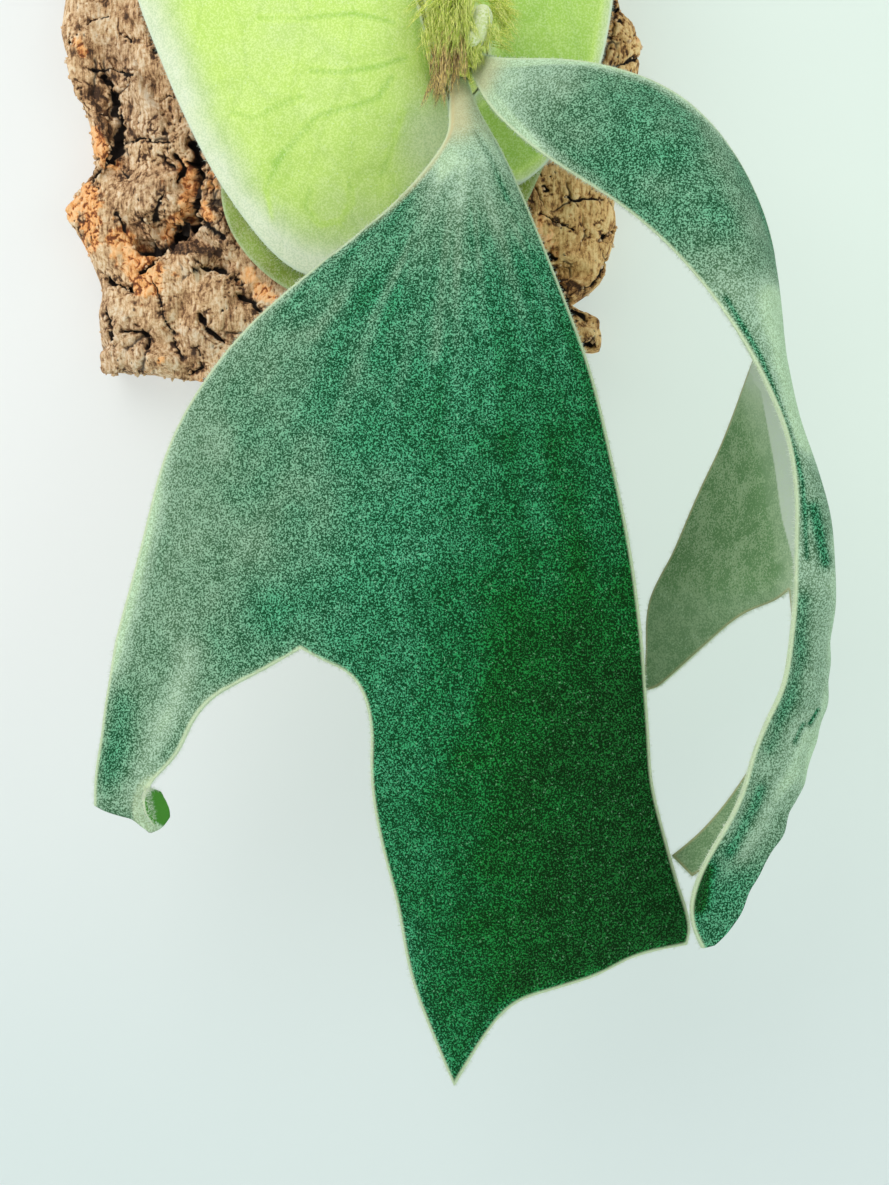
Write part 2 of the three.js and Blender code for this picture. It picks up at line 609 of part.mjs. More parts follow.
// Scales of the bud: slim three-sided points on a spiral, leaning out from the tip. None grows where a frond is.
function budScales(taken) {
  const golden = Math.PI * (3 - Math.sqrt(5));
  const scales = [];
  for (let k = 0; k < BUD_SCALES; k++) {
    const share = 0.12 + 0.8 * (k / BUD_SCALES);
    const turn = k * golden;
    const lean = new THREE.Vector3(Math.cos(turn) * share, -0.95 + 0.45 * share, Math.sin(turn) * share).normalize();
    const length = 8 + 6 * hash(k, 0, 21);
    const reach = Math.sqrt(1 - share ** 2 * 0.9);
    const foot = new THREE.Vector3(
      RHIZOME.x + RHIZOME.wide * 0.86 * share * Math.cos(turn),
      RHIZOME.front + 11 - 10.5 * reach,
      RHIZOME.z + RHIZOME.tall * 0.86 * share * Math.sin(turn),
    );
    const point = (extra) => {
      const cone = new THREE.ConeGeometry(0.95 + extra, length + 2 * extra, 3).translate(0, length / 2 - 2.5, 0);
      cone.applyQuaternion(new THREE.Quaternion().setFromUnitVectors(new THREE.Vector3(0, 1, 0), lean));
      return toSolid(cone.translate(foot.x, foot.y, foot.z));
    };
    const roomy = point(2 * FIT_GAP);
    if (taken.every((other) => roomy.intersect(other).isEmpty())) scales.push(point(0));
  }
  return join(scales);
}

function screwAt(x, z) {
  const { headR, shankR, head, length } = SCREW;
  const seat = barkFront(x, z) - SCREW.sunk + 0.15;
  const profile = [[0, -length], [shankR * 0.5, -length + 2], [shankR, -length + 4], [shankR, 0]];
  profile.push([headR, 0], [headR * 0.8, head], [0, head]);
  const points = profile.map(([r, h]) => new THREE.Vector2(r, h));
  return toSolid(new THREE.LatheGeometry(points, 8).rotateX(Math.PI).translate(x, -seat, z));
}

// The bore for a screw, and the flat that its head is driven down to
function screwHole(x, z) {
  const { headR, shankR, length, sunk } = SCREW;
  const bore = new THREE.CylinderGeometry(shankR + 0.35, shankR + 0.35, length + 6, 8);
  const flat = new THREE.CylinderGeometry(headR + 0.6, headR + 0.6, 12, 10);
  const front = -barkFront(x, z);
  return toSolid(bore.translate(x, front + length / 2, z)).add(toSolid(flat.translate(x, front + sunk - 6, z)));
}

// A tie runs taut from a screw over the moss to the other screw
function tieCurve({ z, from, to }) {
  const spans = 14;
  const overMoss = Array.from({ length: spans - 1 }, (_, k) => THREE.MathUtils.lerp(from, to, (k + 1) / spans))
    .filter((x) => Math.hypot((x - MOSS.x) / MOSS.wide, (z - MOSS.z) / MOSS.tall) < 1)
    .map((x) => [x, 0.5 - mound(x, z), z]);
  const end = (x) => [x, -(barkFront(x, z) - SCREW.sunk + SCREW.head + TIE_R + 0.5), z];
  return curveOf([end(from), ...overMoss, end(to)]);
}

// Put together
const GREEN = { fertile: 0x1f6b45, shield: 0xa5cf5a, old: 0x7fa044, young: 0xcfe29a };
const materials = {
  cork: new THREE.MeshStandardMaterial({ color: 0xa98463, roughness: 0.95, metalness: 0 }),
  moss: new THREE.MeshStandardMaterial({ color: 0x8d7a45, roughness: 1, metalness: 0 }),
  rhizome: new THREE.MeshStandardMaterial({ color: 0xc9c26a, roughness: 0.9, metalness: 0 }),
  young: new THREE.MeshStandardMaterial({ color: GREEN.young, roughness: 0.8, metalness: 0 }),
  shield: new THREE.MeshStandardMaterial({ color: GREEN.shield, roughness: 0.7, metalness: 0 }),
  old: new THREE.MeshStandardMaterial({ color: GREEN.old, roughness: 0.8, metalness: 0 }),
  fertile: new THREE.MeshStandardMaterial({ color: GREEN.fertile, roughness: 0.8, metalness: 0 }),
  steel: new THREE.MeshStandardMaterial({ color: 0xb4b7b8, roughness: 0.35, metalness: 1 }),
  line: new THREE.MeshStandardMaterial({ color: 0xd8dcd2, roughness: 0.3, metalness: 0 }),
};

const main = mainFrond();
const side = sideFrond();
const young = youngFrond();
const core = rhizomeCore();
const aroundStem = (solid) => cutWithGap(solid, core);
const slit = toSolid(new THREE.BoxGeometry(3, 60, 90).translate(35.5, -40, 36));
const old = largestBody(aroundStem(shield(OLD_SHIELD, [14, -6], 36, 5, oldHeight)).subtract(slit));
const right = aroundStem(shield(RIGHT_SHIELD, [54, 10], 36, 6, rightHeight));
const left = aroundStem(shield(LEFT_SHIELD, [-20, 6], 44, 7, leftHeight));
const stem = [main, side, young].reduce((rest, frond) => rest.subtract(socket(frond)), core);
const bud = largestBody(stem.add(budScales([main, side, young, right, left])));
const cuts = [hangerCut(), ...SCREW_PLACES.map((at) => screwHole(...at))];
const slab = largestBody(cuts.reduce((rest, cut) => rest.subtract(cut), corkSlab()));

const nodes = {
  cork_slab: [slab, materials.cork],
  hanger_wire: [hangerWire(), materials.steel],
  moss_pad: [aroundStem(mossPad()), materials.moss],
  rhizome_bud: [bud, materials.rhizome],
  young_frond: [young, materials.young],
  shield_frond_old: [old, materials.old],
  shield_frond_right: [right, materials.shield],
  shield_frond_left: [left, materials.shield],
  fertile_frond_main: [main, materials.fertile],
  fertile_frond_side: [side, materials.fertile],
};
TIES.forEach((tie, k) => {
  nodes[`tie_line_${k + 1}`] = [toSolid(tube(tieCurve(tie), TIE_R, 22, 3)), materials.line];
});
SCREW_PLACES.forEach((at, k) => {
  nodes[`tie_screw_${k + 1}`] = [screwAt(...at), materials.steel];
});

const fern = new THREE.Group();
for (const [name, [solid, material]] of Object.entries(nodes)) {
  const mesh = new THREE.Mesh(toGeometry(solid), material);
  mesh.name = name;
  fern.add(mesh);
}

export default fern;
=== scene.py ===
# %% [markdown]
# # A staghorn fern mounted on cork bark
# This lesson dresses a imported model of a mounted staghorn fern: a slab of cork bark, pale felted shield
# fronds that clasp it, a furry growing tip, and forked green fertile fronds that hang free.
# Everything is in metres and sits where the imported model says. +Z is up and the fern faces -Y.

import math
import random

import bmesh
import bpy
from mathutils import Matrix, Vector, kdtree, noise


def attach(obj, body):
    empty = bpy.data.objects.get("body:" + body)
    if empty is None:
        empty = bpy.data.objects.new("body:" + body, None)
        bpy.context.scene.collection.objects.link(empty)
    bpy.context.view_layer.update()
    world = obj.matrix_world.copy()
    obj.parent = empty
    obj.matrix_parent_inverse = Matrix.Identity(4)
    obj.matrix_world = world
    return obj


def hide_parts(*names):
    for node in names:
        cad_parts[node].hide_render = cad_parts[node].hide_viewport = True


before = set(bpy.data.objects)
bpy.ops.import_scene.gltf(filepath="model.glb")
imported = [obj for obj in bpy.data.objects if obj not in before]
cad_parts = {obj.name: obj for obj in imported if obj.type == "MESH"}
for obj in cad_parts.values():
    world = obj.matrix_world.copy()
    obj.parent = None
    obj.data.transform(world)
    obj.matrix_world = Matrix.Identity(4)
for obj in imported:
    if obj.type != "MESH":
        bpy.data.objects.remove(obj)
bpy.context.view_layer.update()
scene = bpy.context.scene
MM = 0.001
noise.seed_set(1)  # otherwise noise_vector changes from run to run
print("packed nodes:", len(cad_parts))

# %% [markdown]
# ## Small helpers for shapes
# A shape is edited as a bmesh and then written to a mesh, and an object puts the mesh into the scene.


# %% Shapes and objects
def opened(mesh):
    shape = bmesh.new()
    shape.from_mesh(mesh)
    return shape


def written(shape, mesh):
    shape.to_mesh(mesh)
    shape.free()
    return mesh


def push(shape, moves):
    for vert, move in zip(shape.verts, moves):
        vert.co += move


def new_object(name, data):
    made = bpy.data.objects.new(name, data)
    scene.collection.objects.link(made)
    return made


print("shape helpers ready")

# %% [markdown]
# ## Camera
# The picture looks straight at the wall from a little below the slab, so that the slab's top lies above
# the frame. A lens and a distance are enough to match it, so no shift is needed.

# %% Camera
PHOTO_HEIGHT = 1185  # pixels
FOCAL_LENGTH = 2500  # pixels
SENSOR = 36  # millimetres along the picture's long side
CAMERA_PLACE = (0.030, -0.850, -0.190)
NEAREST = 0.01  # nothing nearer to the camera is drawn

camera_data = bpy.data.cameras.new("camera")
camera_data.sensor_width = SENSOR
camera_data.lens = SENSOR * FOCAL_LENGTH / PHOTO_HEIGHT
camera_data.clip_start = NEAREST
camera = new_object("camera", camera_data)
camera.location = CAMERA_PLACE
camera.rotation_euler = (math.radians(90), 0, 0)
scene.camera = camera
print("lens:", round(camera_data.lens, 2), "mm")

# %% [markdown]
# ## Small helpers for shader nodes
# A material in Blender is a tree of nodes. Each helper adds a node to the tree in work, joins or sets its
# inputs, and gives back its output, so that a finish reads from top to bottom like a recipe.

# %% Add a node, and join or set an input
work = {"tree": None}  # new_finish and new_effect put their tree here


def new_node(kind):
    return work["tree"].nodes.new("ShaderNode" + kind)


def plug(socket, value):
    """Joins an output to a socket, or sets the socket; a colour is given without its alpha."""
    if isinstance(value, bpy.types.NodeSocket):
        socket.id_data.links.new(value, socket)
    elif value is not None:
        socket.default_value = (*value, 1) if socket.type == "RGBA" else value


# %% Sums and blends
def calculate(operation, a, b=None, clamp=False):
    node = new_node("Math")
    node.operation = operation
    node.use_clamp = clamp
    plug(node.inputs[0], a)
    plug(node.inputs[1], b)
    return node.outputs[0]


def blend_colours(share, a, b, how="MIX"):
    node = new_node("Mix")
    node.data_type = "RGBA"
    node.blend_type = how
    plug(node.inputs[0], share)
    plug(node.inputs[6], a)
    plug(node.inputs[7], b)
    return node.outputs[2]


def soft_step(value, low, high, out_low=0.0, out_high=1.0):
    """Goes smoothly from out_low, where the value is low, to out_high, where it is high."""
    node = new_node("MapRange")
    node.interpolation_type = "SMOOTHSTEP"
    plug(node.inputs[0], value)
    for index, number in enumerate((low, high, out_low, out_high), start=1):
        node.inputs[index].default_value = number
    return node.outputs[0]


def colour_ramp(value, *stops):
    node = new_node("ValToRGB")
    points = node.color_ramp.elements
    while len(points) < len(stops):
        points.new(0.5)
    for point, (place, colour) in zip(points, stops):
        point.position = place
        point.color = (*colour, 1)
    plug(node.inputs[0], value)
    return node.outputs[0]


# %% Patterns
def object_place(scale=(1, 1, 1)):
    coordinates = new_node("TexCoord")
    mapping = new_node("Mapping")
    mapping.inputs["Scale"].default_value = scale
    plug(mapping.inputs["Vector"], coordinates.outputs["Object"])
    return mapping.outputs["Vector"]


def clouds(place, scale, detail=3.0, roughness=0.55):
    node = new_node("TexNoise")
    plug(node.inputs["Vector"], place)
    plug(node.inputs["Scale"], scale)
    node.inputs["Detail"].default_value = detail
    node.inputs["Roughness"].default_value = roughness
    return node.outputs["Fac"]


def cells(place, scale, feature="F1"):
    node = new_node("TexVoronoi")
    node.feature = feature
    plug(node.inputs["Vector"], place)
    plug(node.inputs["Scale"], scale)
    return node.outputs["Distance"]


def painted(name):
    """Reads a value that the mesh keeps for each of its points."""
    node = new_node("Attribute")
    node.attribute_name = name
    return node.outputs["Fac"]


def bump(height, strength, distance):
    node = new_node("Bump")
    node.inputs["Strength"].default_value = strength
    node.inputs["Distance"].default_value = distance
    plug(node.inputs["Height"], height)
    return node.outputs["Normal"]


# %% Materials and groups
def new_finish(name, roughness, **steady):
    """A material and the inputs of its surface, of which the steady ones are set by name."""
    material = bpy.data.materials.new(name)
    material.use_nodes = True
    work["tree"] = material.node_tree
    inputs = material.node_tree.nodes["Principled BSDF"].inputs
    for socket, value in {"Roughness": roughness, **steady}.items():
        plug(inputs[socket.replace("_", " ")], value)
    return material, inputs


def new_effect(name, inputs, colours, values):
    """A group of nodes with some inputs, that gives colours and values to more than one material."""
    tree = work["tree"] = bpy.data.node_groups.new(name, "ShaderNodeTree")
    for socket, value in inputs.items():
        kind = "NodeSocketFloat" if isinstance(value, float) else "NodeSocketColor"
        made = tree.interface.new_socket(name=socket, in_out="INPUT", socket_type=kind)
        made.default_value = value if isinstance(value, float) else (*value, 1)
    for kind, sockets in (("NodeSocketColor", colours), ("NodeSocketFloat", values)):
        for socket in sockets:
            tree.interface.new_socket(name=socket, in_out="OUTPUT", socket_type=kind)
    return tree, tree.nodes.new("NodeGroupInput").outputs, tree.nodes.new("NodeGroupOutput").inputs


def cloudy_finish(name, roughness, grain, low, high, stretch=(1, 1, 1), **steady):
    """A finish that drifts from low to high with noise; grain is the noise's scale and detail."""
    finish, inputs = new_finish(name, roughness, **steady)
    scale, detail = grain
    pattern = clouds(object_place(scale=stretch), scale, detail=detail)
    plug(inputs["Base Color"], colour_ramp(pattern, low, high))
    return finish


def use_effect(effect, **values):
    node = new_node("Group")
    node.node_tree = effect
    for name, value in values.items():
        plug(node.inputs[name.replace("_", " ")], value)
    return node.outputs


print("node helpers ready")

# %% [markdown]
# ## Wall, floor and light
# The fern hangs on a pale wall that turns faintly green to the right and darker downwards: painted light
# and shade across the wall. Part of the wall's tint takes light and shadow, and part of it glows, a painted
# light that keeps shadows on it soft. The wall is see-through from behind, so that the slab's back can be
# looked at.

# %% Wall and floor
WALL_GAP = 1.0 * MM
FLOOR_Z = -0.62
HALF_SIDE = 3  # half the side of the wall and of the floor
WALL_SHADED = (0.42, 0.42, 0.42)  # the share of the wall's tint that takes light and shadow
WALL_GLOW = 0.56


def flat_sheet(name, place):
    sheet = bmesh.new()
    bmesh.ops.create_grid(sheet, x_segments=1, y_segments=1, size=HALF_SIDE, matrix=place)
    made = new_object(name, written(sheet, bpy.data.meshes.new(name)))
    return made


upright = Matrix.Rotation(math.radians(90), 4, "X")
wall = flat_sheet("wall", Matrix.Translation((0, WALL_GAP, 0)) @ upright)
floor = flat_sheet("floor", Matrix.Translation((0, 0, FLOOR_Z)))

wall_finish, inputs = new_finish("wall_paint", 0.9)
across = new_node("SeparateXYZ")
plug(across.inputs[0], object_place())
rightward = soft_step(across.outputs["X"], -0.10, 0.14)
downward = soft_step(across.outputs["Z"], -0.12, -0.40)
# painted light and shade: the wall's tint turns greener to the right and darker downwards
wall_tint = blend_colours(rightward, (0.90, 0.92, 0.91), (0.78, 0.89, 0.82))
wall_tint = blend_colours(downward, wall_tint, (0.70, 0.79, 0.78))
plug(inputs["Base Color"], blend_colours(1.0, wall_tint, WALL_SHADED, how="MULTIPLY"))
# painted light: part of the wall's tint glows, so that shadows on it stay soft
plug(inputs["Emission Color"], wall_tint)
plug(inputs["Emission Strength"], WALL_GLOW)
clear = new_node("BsdfTransparent")
behind = new_node("NewGeometry")
either = new_node("MixShader")
plug(either.inputs[0], behind.outputs["Backfacing"])
plug(either.inputs[1], work["tree"].nodes["Principled BSDF"].outputs[0])
plug(either.inputs[2], clear.outputs[0])
plug(work["tree"].nodes["Material Output"].inputs["Surface"], either.outputs[0])
wall.data.materials.append(wall_finish)

floor_tints = (0.3, (0.78, 0.82, 0.80)), (0.7, (0.84, 0.87, 0.85))
floor.data.materials.append(cloudy_finish("floor_paint", 0.8, (3, 2), *floor_tints))
print("wall faces", wall.data.polygons[0].normal)

# %% [markdown]
# A large disk of light at the upper left is the key. A smaller one at the right, faintly green, and a
# bright pale world fill the shade.

# %% Light
LIT_PLACE = Vector((0.02, 0, -0.15))  # what both lights point at
LIGHTS = [  # name, place, width in metres, watts and colour
    ("key", (-1.3, -2.0, 1.4), 2.6, 37, (1.0, 0.975, 0.95)),
    ("fill", (1.6, -1.6, -0.2), 1.8, 10, (0.85, 1.0, 0.95)),
]
WORLD_TINT = (0.92, 0.97, 0.95)
WORLD_STRENGTH = 0.68

scene.view_settings.view_transform = "Standard"
for name, place, width, watts, colour in LIGHTS:
    data = bpy.data.lights.new(name, "AREA")
    data.shape = "DISK"
    data.size = width
    data.energy = watts
    data.color = colour
    lamp = new_object(name, data)
    lamp.location = place
    lamp.rotation_euler = (LIT_PLACE - Vector(place)).to_track_quat("-Z", "Y").to_euler()
world = bpy.data.worlds.new("room")
world.use_nodes = True
sky = world.node_tree.nodes["Background"].inputs
plug(sky["Color"], WORLD_TINT)
plug(sky["Strength"], WORLD_STRENGTH)
scene.world = world

# %% [markdown]
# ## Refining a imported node
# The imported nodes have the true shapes, but coarse ones. A merged copy of a node, with its triangles
# paired into four-sided faces, takes a Subdivision Surface well. Creasing the edges of a thin leaf's rim
# keeps its outline from shrinking.


# %% Merge a copy and pair its triangles
def merged_copy(node):
    shape = opened(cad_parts[node].data)
    bmesh.ops.remove_doubles(shape, verts=shape.verts, dist=0.002 * MM)
    bmesh.ops.join_triangles(
        shape,
        faces=shape.faces,
        angle_face_threshold=math.radians(50),
        angle_shape_threshold=math.radians(100),
    )
    return shape


# %% Crease sharp edges and corners
SHORTEST = 2 * MM  # shorter edges make no corner


def crease(shape, sharp_degrees, corner_degrees):
    edge_layer = shape.edges.layers.float.new("crease_edge")
    vert_layer = shape.verts.layers.float.new("crease_vert")
    inner = [e for e in shape.edges if len(e.link_faces) == 2]
    sharp = {e for e in inner if math.degrees(e.calc_face_angle()) > sharp_degrees}
    for edge in sharp:
        edge[edge_layer] = 1.0
    for vert in shape.verts:
        meeting = [e for e in vert.link_edges if e in sharp and e.calc_length() > SHORTEST]
        ends = [e.other_vert(vert).co - vert.co for e in meeting]
        if len(ends) == 2 and 180 - math.degrees(ends[0].angle(ends[1])) > corner_degrees:
            vert[vert_layer] = 1.0
    return sharp


# %% Make an object and apply its subdivision
def refined(shape, name, levels):
    piece = new_object(name, written(shape, bpy.data.meshes.new(name)))
    rounder = piece.modifiers.new("round", "SUBSURF")
    rounder.levels = levels
    rounder.render_levels = levels
    bake_modifiers(piece)
    return piece


def bake_modifiers(piece):
    graph = bpy.context.evaluated_depsgraph_get()
    baked = bpy.data.meshes.new_from_object(
        piece.evaluated_get(graph), preserve_all_data_layers=True, depsgraph=graph
    )
    piece.modifiers.clear()
    piece.data = baked


def put_on(piece, slot, *finishes, stands_for=()):
    """Gives a finished piece its materials and its body; the slot is not used."""
    for finish in finishes:
        piece.data.materials.append(finish)
    piece.data.polygons.foreach_set("use_smooth", [True] * len(piece.data.polygons))
    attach(piece, "root")
    if stands_for:
        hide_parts(*stands_for)
    piece.data.calc_loop_triangles()
    print(piece.name, len(piece.data.loop_triangles), "triangles")


# %% Soft curves
def bell(value, width):
    return math.exp(-((value / width) ** 2))


def ease(value, low, high):
    share = min(1.0, max(0.0, (value - low) / (high - low)))
    return share * share * (3 - 2 * share)


# %% [markdown]
# ## Leaf blades
# A leaf is a thin closed sheet with an upper face, an under face and a rim. Filling outwards from one
# face, and never across a creased edge, tells them apart, so that each gets its own finish. Each point
# keeps its distance from the rim, because pale margins and bloom follow it, and how pale it is there.


# %% Tell upper, under and rim faces apart
UPPER, UNDER, RIM = 0, 1, 2  # the places of a leaf's three finishes


def paint_sides(shape, rim_edges):
    unseen = set(shape.faces)
    sheets = []
    while unseen:
        queue = [unseen.pop()]
        sheet = []
        while queue:
            face = queue.pop()
            sheet.append(face)
            beyond = [f for e in face.edges if e not in rim_edges for f in e.link_faces if f in unseen]
            unseen.difference_update(beyond)
            queue.extend(set(beyond))
        sheets.append(sheet)
    sheets.sort(key=lambda faces: -sum(face.calc_area() for face in faces))
    forward = [-sum(f.normal.y * f.calc_area() for f in sheet) for sheet in sheets[:2]]
    sides = [UPPER, UNDER] if forward[0] > forward[1] else [UNDER, UPPER]
    for place, sheet in enumerate(sheets):
        for face in sheet:
            face.material_index = sides[place] if place < 2 else RIM
    print("sheets of faces:", [len(sheet) for sheet in sheets[:4]], "of", len(sheets))


# %% Refine a leaf
RIM_DEGREES = 55  # a leaf's rim is where its faces meet more sharply than this
CORNER_DEGREES = 35
LEAF_LEVELS = 3


def touches(vert, side):
    return any(face.material_index == side for face in vert.link_faces)


def leaf(node, relief):
    """relief gives, for a point in mm, its rise in mm, how pale it is and how deep in colour."""
    shape = merged_copy(node)
    rim_edges = crease(shape, RIM_DEGREES, CORNER_DEGREES)
    paint_sides(shape, rim_edges)
    piece = refined(shape, node + "_leaf", LEAF_LEVELS)
    shape = opened(piece.data)
    layers = [shape.verts.layers.float.new(name) for name in ("margin", "pale", "deep")]
    rim = [v for v in shape.verts if touches(v, RIM)]
    tree = kdtree.KDTree(len(rim))
    for index, vert in enumerate(rim):
        tree.insert(vert.co, index)
    tree.balance()
    shape.normal_update()
    moves = []
    for vert in shape.verts:
        away = tree.find(vert.co)[2] / MM
        rise, pale, deep = relief(vert.co / MM, away, touches(vert, UNDER))
        for layer, value in zip(layers, (away, pale, deep)):
            vert[layer] = value
        moves.append(vert.normal * rise * MM)
    push(shape, moves)
    every_way = {"use_axis_x": True, "use_axis_y": True, "use_axis_z": True}
    bmesh.ops.smooth_vert(shape, verts=rim, factor=0.3, **every_way)
    written(shape, piece.data)
    return piece


def put_on_leaf(node, relief, slot, *finishes):
    """Puts a refined leaf in its node's place; the finishes are for its upper, under and rim faces."""
    put_on(leaf(node, relief), slot, *finishes, stands_for=[node])


# %% [markdown]
# ## Felt
# Staghorn leaves are coated in tiny star-shaped hairs. Close up they read as pale dots about a
# millimetre apart on a darker leaf, and in a mass as a soft whitish bloom. One effect gives both: fine
# noise for the stars, with more of them where there is more felt, and cells for a paler glint in some.


# %% Tones as the eye sees them
def tone(*levels):
    """A colour as it looks on a screen, from 0 to 1, in the linear light that Blender works in."""
    return tuple(c / 12.92 if c < 0.04 else ((c + 0.055) / 1.055) ** 2.4 for c in levels)


# %% Felt effect
felt, given, result = new_effect(
    "starry_felt",
    {"Leaf": (0.05, 0.2, 0.08), "Hair": (0.5, 0.6, 0.5), "Cover": 0.5, "Stars per metre": 1500.0},
    colours=["Colour"],
    values=["Height"],
)
place = object_place()
stars = clouds(place, given["Stars per metre"], detail=1.5, roughness=0.65)
tufts = calculate("SUBTRACT", clouds(place, 260, detail=1), 0.5)
more_felt = calculate("SUBTRACT", given["Cover"], 0.5)
amount = calculate("ADD", stars, calculate("MULTIPLY", tufts, 0.14))
amount = calculate("ADD", amount, calculate("MULTIPLY", more_felt, 0.3))
mask = soft_step(amount, 0.42, 0.61)
glints = soft_step(cells(place, 620), 0.10, 0.30, 0.55, 0.0)
coat = blend_colours(mask, given["Leaf"], given["Hair"])
paler = blend_colours(0.35, given["Hair"], tone(0.80, 0.92, 0.82))
coat = blend_colours(calculate("MULTIPLY", glints, mask), coat, paler)
plug(result["Colour"], coat)
plug(result["Height"], mask)
print("effect:", felt.name)


# %% Greens that follow the paleness
def new_green(name, inputs, scale, detail, sway, stops):
    """Starts an effect whose green follows its input Pale, made a little uneven by noise."""
    tree, given, result = new_effect(name, {"Pale": 0.5, **inputs}, ["Leaf", "Hair"], ["Cover"])
    patches = clouds(object_place(), scale, detail=detail)
    uneven = soft_step(patches, 0.25, 0.75, -sway, sway)
    level = calculate("ADD", given["Pale"], uneven, clamp=True)
    return tree, given, result, level, colour_ramp(level, *stops)


# %% A coat of felt in a finish
def felt_coat(inputs, leaf, hair, cover, stars, relief):
    """Gives the felt's colour and joins its bumps; relief is their strength and height in mm."""
    coat = use_effect(felt, Leaf=leaf, Hair=hair, Cover=cover, Stars_per_metre=stars)
    strength, height = relief
    plug(inputs["Normal"], bump(coat["Height"], strength, height * MM))
    return coat["Colour"]


def green_coat(inputs, green, stars, relief, **more):
    """Felt in the greens of an effect, from the values that are painted on the leaf."""
    leaf = use_effect(green, Pale=painted("pale"), Deep=painted("deep"), **more)
    return felt_coat(inputs, leaf["Leaf"], leaf["Hair"], leaf["Cover"], stars, relief)


def pale_margin(colour, reach, share, tint):
    """Tints a leaf's margin, from reach mm inwards, and most within 0.3 mm of the rim."""
    margin = soft_step(painted("margin"), 0.3, reach, share, 0.0)
    return blend_colours(margin, colour, tint)


# %% Marks along a line
def line_distance(x, z, points):
    """How far a place is from a line through points, seen from the front, in mm."""
    nearest = math.inf
    for (x0, z0), (x1, z1) in zip(points, points[1:]):
        dx, dz = x1 - x0, z1 - z0
        share = min(1.0, max(0.0, ((x - x0) * dx + (z - z0) * dz) / (dx * dx + dz * dz)))
        nearest = min(nearest, math.hypot(x - x0 - share * dx, z - z0 - share * dz))
    return nearest


def marked(x, z, marks):
    """The sum of soft marks: each has a half width, a strength and its line."""
    return sum(strength * bell(line_distance(x, z, points), half) for half, strength, points in marks)


# %% [markdown]
# ## Fertile fronds
# These are the antlers: leathery blue-green blades that fork into blunt lobes. They are almost white at
# the base and along the margins, and darkest where the felt has rubbed off and in painted shade towards the
# lower right. The paleness and depth are worked out for each point from where it sits on the frond, painted
# light and shade included, and a colour ramp turns them into green.

# %% Greens of a frond
FROND_GREENS = [
    (0.0, tone(0.0, 0.32, 0.07)),
    (0.1, tone(0.0, 0.39, 0.12)),
    (0.25, tone(0.01, 0.46, 0.25)),
    (0.4, tone(0.07, 0.51, 0.33)),
    (0.5, tone(0.23, 0.52, 0.36)),
    (0.62, tone(0.34, 0.53, 0.38)),
    (0.72, tone(0.42, 0.57, 0.43)),
    (0.85, tone(0.57, 0.69, 0.56)),
    (1.0, tone(0.73, 0.84, 0.67)),
]
extra = {"Deep": 0.0, "Margin": 5.0}
frond_green, given, result, level, middling = new_green("leaf_green", extra, 60, 3, 0.045, FROND_GREENS)
contrast = soft_step(level, 0.35, 0.95, 1.0, 0.3)
between = blend_colours(contrast, middling, (0.10, 0.22, 0.16), how="MULTIPLY")
hair = blend_colours(contrast, middling, (1.66, 1.60, 1.66), how="MULTIPLY")
haze = soft_step(level, 0.05, 0.4, 0.4, 1.0)
hair = blend_colours(haze, hair, (0.031, 0.053, 0.045), how="ADD")
bloom = soft_step(level, 0.1, 1.0, 0.0, 0.42)
hair = blend_colours(bloom, hair, tone(0.76, 0.85, 0.79))
margin = soft_step(given["Margin"], 0.2, 1.4, 0.85, 0.0)
for name, colour in (("Leaf", between), ("Hair", hair)):
    colour = blend_colours(given["Deep"], colour, tone(0.82, 0.78, 0.60))
    plug(result[name], blend_colours(margin, colour, tone(0.84, 0.90, 0.75)))
plug(result["Cover"], soft_step(level, 0.0, 1.0, 0.38, 0.6))
print("effect:", frond_green.name)


# %% Frond finishes
def frond_finish(name, stars, strength):
    """A finish whose deep value tints the leaf tan above 0, and below 0 a bare vivid green that is painted
    light shining through the leaf.
    """
    finish, inputs = new_finish(name, 0.75, Sheen_Weight=0.04, Specular_IOR_Level=0.08)
    margin = painted("margin")
    colour = green_coat(inputs, frond_green, stars, (strength, 0.3), Margin=margin)
    # painted light: the curl's mouth is a bare vivid green, as light shines through the leaf there
    light_through_leaf = calculate("MULTIPLY", painted("deep"), -1.0, clamp=True)
    plug(inputs["Base Color"], blend_colours(light_through_leaf, colour, tone(0.30, 0.56, 0.20)))
    return finish


upper_finish = frond_finish("frond_upper", 1950.0, 0.6)
rim_finish = frond_finish("frond_margin", 2200.0, 0.4)

under_finish, inputs = new_finish("frond_underside", 0.8, Sheen_Weight=0.1, Specular_IOR_Level=0.12)
olive = colour_ramp(
    painted("pale"),
    (0.0, tone(0.26, 0.42, 0.24)),
    (0.5, tone(0.38, 0.53, 0.35)),
    (0.8, tone(0.58, 0.68, 0.55)),
    (1.0, tone(0.72, 0.78, 0.72)),
)
lighter = blend_colours(0.35, olive, tone(0.72, 0.80, 0.66))
patches = soft_step(clouds(object_place(), 130, detail=3), 0.3, 0.7, 0.25, 0.75)
colour = felt_coat(inputs, olive, lighter, patches, 1800.0, (0.3, 0.2))
colour = pale_margin(colour, 1.2, 0.8, tone(0.66, 0.66, 0.50))
plug(inputs["Base Color"], colour)
frond_finishes = (upper_finish, under_finish, rim_finish)
print("frond finishes:", [finish.name for finish in frond_finishes])

